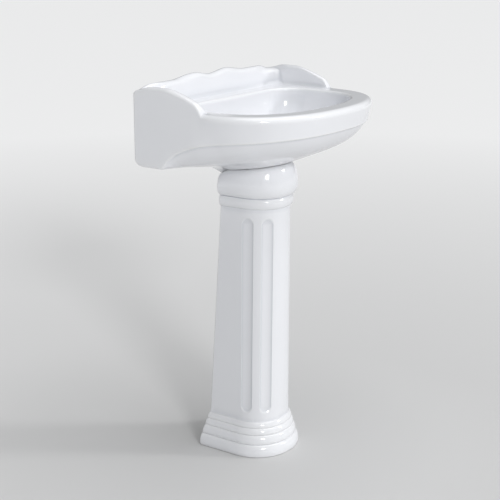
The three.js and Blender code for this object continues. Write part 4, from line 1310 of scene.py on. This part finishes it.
class SinkBasinSettings(bpy.types.PropertyGroup):
    """Sizes of the basin."""

    width: length("Width", "Width across the wings", CAD_HIGH.x - CAD_LOW.x)
    depth: length("Depth", "From the wall to the crest of the bow", CAD_HIGH.y - CAD_LOW.y)
    rim: length("Rim height", "Height of the rim and the tap ledge above the floor", 0.840)
    wing_top: length("Wing height", "Height of the top of the wings above the floor", 0.888)
    hump: length("Hump", "Height of the two humps on the back panel", 0.0085)
    hump_place: length("Hump place", "Where the humps peak, from the middle", 0.066)
    sill: length("Panel bottom", "Height of the bottom edge of the back panel", 0.711)
    wing_end: length("Wing length", "How far the wings reach from the wall", 0.186)
    wing_thickness: length("Wing thickness", "Thickness of the wings", 0.018)
    panel_thickness: length("Panel thickness", "Thickness of the back panel", 0.026)
    rim_thickness: length("Rim width", "Width of the rim's rounded top in front", 0.026)
    bowl_width: length("Bowl width", "Width of the bowl's opening", 0.420)
    bowl_back: length("Bowl back", "From the wall to the back of the opening", 0.080)
    bowl_front: length("Bowl front", "From the wall to the front of the opening", 0.334)
    bowl_floor: length("Bowl floor", "Height of the bowl's lowest part", 0.708)
    lip: length("Lip radius", "Radius of the bowl's edge", 0.007)
    drain: length("Drain place", "From the wall to the drain's axis", 0.165)
    dish: length("Dish radius", "Radius at which the bowl's floor begins", 0.033)
    hole: length("Drain hole radius", "Radius of the drain hole", 0.022)
    boss: length("Boss height", "Height of the flat underside round the drain", 0.680)
    neck: length("Neck height", "Height of the joint over the pedestal", 0.685)
    neck_x: length("Neck half width", "Half the width of the neck over the pedestal", 0.077)
    neck_d: length("Neck half depth", "Half the depth of the neck over the pedestal", 0.080)
    tap_spread: length("Tap spacing", "From the middle to the outer tap holes", 0.1016)


class SinkPedestalSettings(bpy.types.PropertyGroup):
    """Sizes of the pedestal."""

    top_width: length("Top width", "Width of the column under the ring", 0.138)
    foot_width: length("Foot width", "Width of the column over the base steps", 0.149)
    collar: length("Collar bulge", "How far the collar swells", 0.0155)
    wall: length("Wall", "Thickness of the china", 0.012)
    joint_gap: length("Joint gap", "Gap between the pedestal and the basin", 0.0026)
    flute_width: length("Flute width", "Width of a flute", 0.029)
    flute_depth: length("Flute depth", "Depth of a flute", 0.0036)


class SinkDrainSettings(bpy.types.PropertyGroup):
    """Sizes of the drain."""

    distance: length("Distance", "From the wall to the drain's axis", 0.165)
    pitch: length("Thread pitch", "Pitch of the drain body's thread", 0.0018)


class SinkTrapSettings(bpy.types.PropertyGroup):
    """Sizes of the trap."""

    outlet: length("Outlet leg", "From the wall to the trap's outlet leg", 0.093)
    top: length("Bend top", "Height of the bend's two mouths", 0.455)


class SinkFixingSettings(bpy.types.PropertyGroup):
    """Sizes of the wall fixings."""

    spread: length("Spread", "From the middle to each fixing", 0.140)
    height: length("Height", "Height of the fixings above the floor", 0.775)
    pitch: length("Thread pitch", "Pitch of the studs' thread", 0.0015)


class SinkFinishSettings(bpy.types.PropertyGroup):
    """Colours and gloss of the finishes."""

    china: colour("China", "Colour of the glazed china", (0.852, 0.862, 0.892))
    # painted shade: the blue-grey that the glaze is darkened to in creases and hollows
    crease_shade: colour("Pooled glaze", "Colour of the glaze where it lies thick", (0.66, 0.68, 0.72))
    chrome: colour("Chrome", "Colour of the plated metal", (0.80, 0.81, 0.83))
    brass: colour("Brass", "Colour of the bare brass", (0.72, 0.56, 0.30))
    steel: colour("Steel", "Colour of the zinc-plated steel", (0.60, 0.61, 0.63))
    rubber: colour("Rubber", "Colour of the rubber", (0.045, 0.045, 0.047))
    nylon: colour("Nylon", "Colour of the nylon", (0.84, 0.83, 0.79))
    # painted shade: the darker grey of the floor near the sink; far off it is paler
    floor: colour("Floor", "Colour of the floor by the sink", (0.66, 0.66, 0.66))
    gloss: number("Glaze roughness", "Roughness of the glaze", 0.1, min=0, max=1, subtype="FACTOR")


class SinkStageSettings(bpy.types.PropertyGroup):
    """The floor, the lamps and the camera."""

    floor_size: length("Floor radius", "Radius of the floor", 60.0)
    overhead: number("Overhead light", "Strength of the light from above", 1.6)
    left: number("Left light", "Strength of the light from the front left", 1.12)
    right: number("Right light", "Strength of the light from the front right", 0.72)
    sky: number("Sky", "Strength of the light from all round", 0.22, min=0)
    sky_colour: colour("Sky colour", "Colour of the even light", (0.96, 0.98, 1.0))
    lens: number("Focal length", "Camera lens", 87.97, unit="CAMERA")
    camera_place: vector(
        "Camera place", "Where the camera stands", (-2.2759, -1.5290, 1.2376), subtype="XYZ"
    )
    camera_heading: vector(
        "Camera heading", "Which way it looks", (0.7904, 0.5534, -0.2626), subtype="XYZ"
    )


# ---- Operators ---------------------------------------------------------------------------------------------
class SinkOperator:
    """What every operator here shares: it runs its builder, and an error in it stops the script."""

    bl_options = {"REGISTER", "UNDO"}

    def execute(self, context):
        """Runs the operator's builder."""
        self.builder(context)
        return {"FINISHED"}


class SINK_OT_basin(SinkOperator, bpy.types.Operator):
    """Build the china basin"""

    bl_idname = "sink.basin"
    bl_label = "Basin"
    builder = staticmethod(build_basin)


class SINK_OT_pedestal(SinkOperator, bpy.types.Operator):
    """Build the fluted pedestal"""

    bl_idname = "sink.pedestal"
    bl_label = "Pedestal"
    builder = staticmethod(build_pedestal)


class SINK_OT_pads(SinkOperator, bpy.types.Operator):
    """Finish the rubber pads in the joint"""

    bl_idname = "sink.pads"
    bl_label = "Joint Pads"
    builder = staticmethod(build_pads)


class SINK_OT_drain(SinkOperator, bpy.types.Operator):
    """Build the drain body, its gaskets, washer and locknut"""

    bl_idname = "sink.drain"
    bl_label = "Drain"
    builder = staticmethod(build_drain)


class SINK_OT_stopper(SinkOperator, bpy.types.Operator):
    """Build the push-down stopper and its cartridge"""

    bl_idname = "sink.stopper"
    bl_label = "Stopper"
    builder = staticmethod(build_stopper)


class SINK_OT_trap(SinkOperator, bpy.types.Operator):
    """Build the tailpiece, the trap and its nuts"""

    bl_idname = "sink.trap"
    bl_label = "Trap"
    builder = staticmethod(build_trap)


class SINK_OT_fixings(SinkOperator, bpy.types.Operator):
    """Build the wall studs, washers and nuts"""

    bl_idname = "sink.fixings"
    bl_label = "Wall Fixings"
    builder = staticmethod(build_fixings)


class SINK_OT_stage(SinkOperator, bpy.types.Operator):
    """Lay the floor and set the lamps and the camera"""

    bl_idname = "sink.stage"
    bl_label = "Stage"
    builder = staticmethod(build_stage)


OPERATORS = (
    SINK_OT_basin,
    SINK_OT_pedestal,
    SINK_OT_pads,
    SINK_OT_drain,
    SINK_OT_stopper,
    SINK_OT_trap,
    SINK_OT_fixings,
    SINK_OT_stage,
)
SETTINGS = {
    "sink_basin": SinkBasinSettings,
    "sink_pedestal": SinkPedestalSettings,
    "sink_drain": SinkDrainSettings,
    "sink_trap": SinkTrapSettings,
    "sink_fixings": SinkFixingSettings,
    "sink_finish": SinkFinishSettings,
    "sink_stage": SinkStageSettings,
}


class SINK_PT_sidebar(bpy.types.Panel):
    """The sidebar panel with every builder and its settings."""

    bl_label = "Pedestal Sink"
    bl_idname = "SINK_PT_sidebar"
    bl_space_type = "VIEW_3D"
    bl_region_type = "UI"
    bl_category = "Sink"

    def draw(self, context):
        """Lists the operators, and the settings of each group."""
        for operator in OPERATORS:
            self.layout.operator(operator.bl_idname)
        for name in SETTINGS:
            box = self.layout.box()
            box.label(text=name.replace("_", " ").title())
            group = getattr(context.scene, name)
            for key in group.bl_rna.properties.keys():
                if key not in ("rna_type", "name"):
                    box.prop(group, key)


def register():
    """Registers the settings, the operators and the panel."""
    for name, group in SETTINGS.items():
        bpy.utils.register_class(group)
        setattr(bpy.types.Scene, name, PointerProperty(type=group))
    for cls in (*OPERATORS, SINK_PT_sidebar):
        bpy.utils.register_class(cls)


def unregister():
    """Takes them all away again."""
    for cls in (SINK_PT_sidebar, *reversed(OPERATORS)):
        bpy.utils.unregister_class(cls)
    for name, group in SETTINGS.items():
        delattr(bpy.types.Scene, name)
        bpy.utils.unregister_class(group)


def main():
    """Builds everything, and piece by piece."""
    register()
    for operator in OPERATORS:
        group, name = operator.bl_idname.split(".")
        getattr(getattr(bpy.ops, group), name)()


if __name__ == "__main__":
    main()
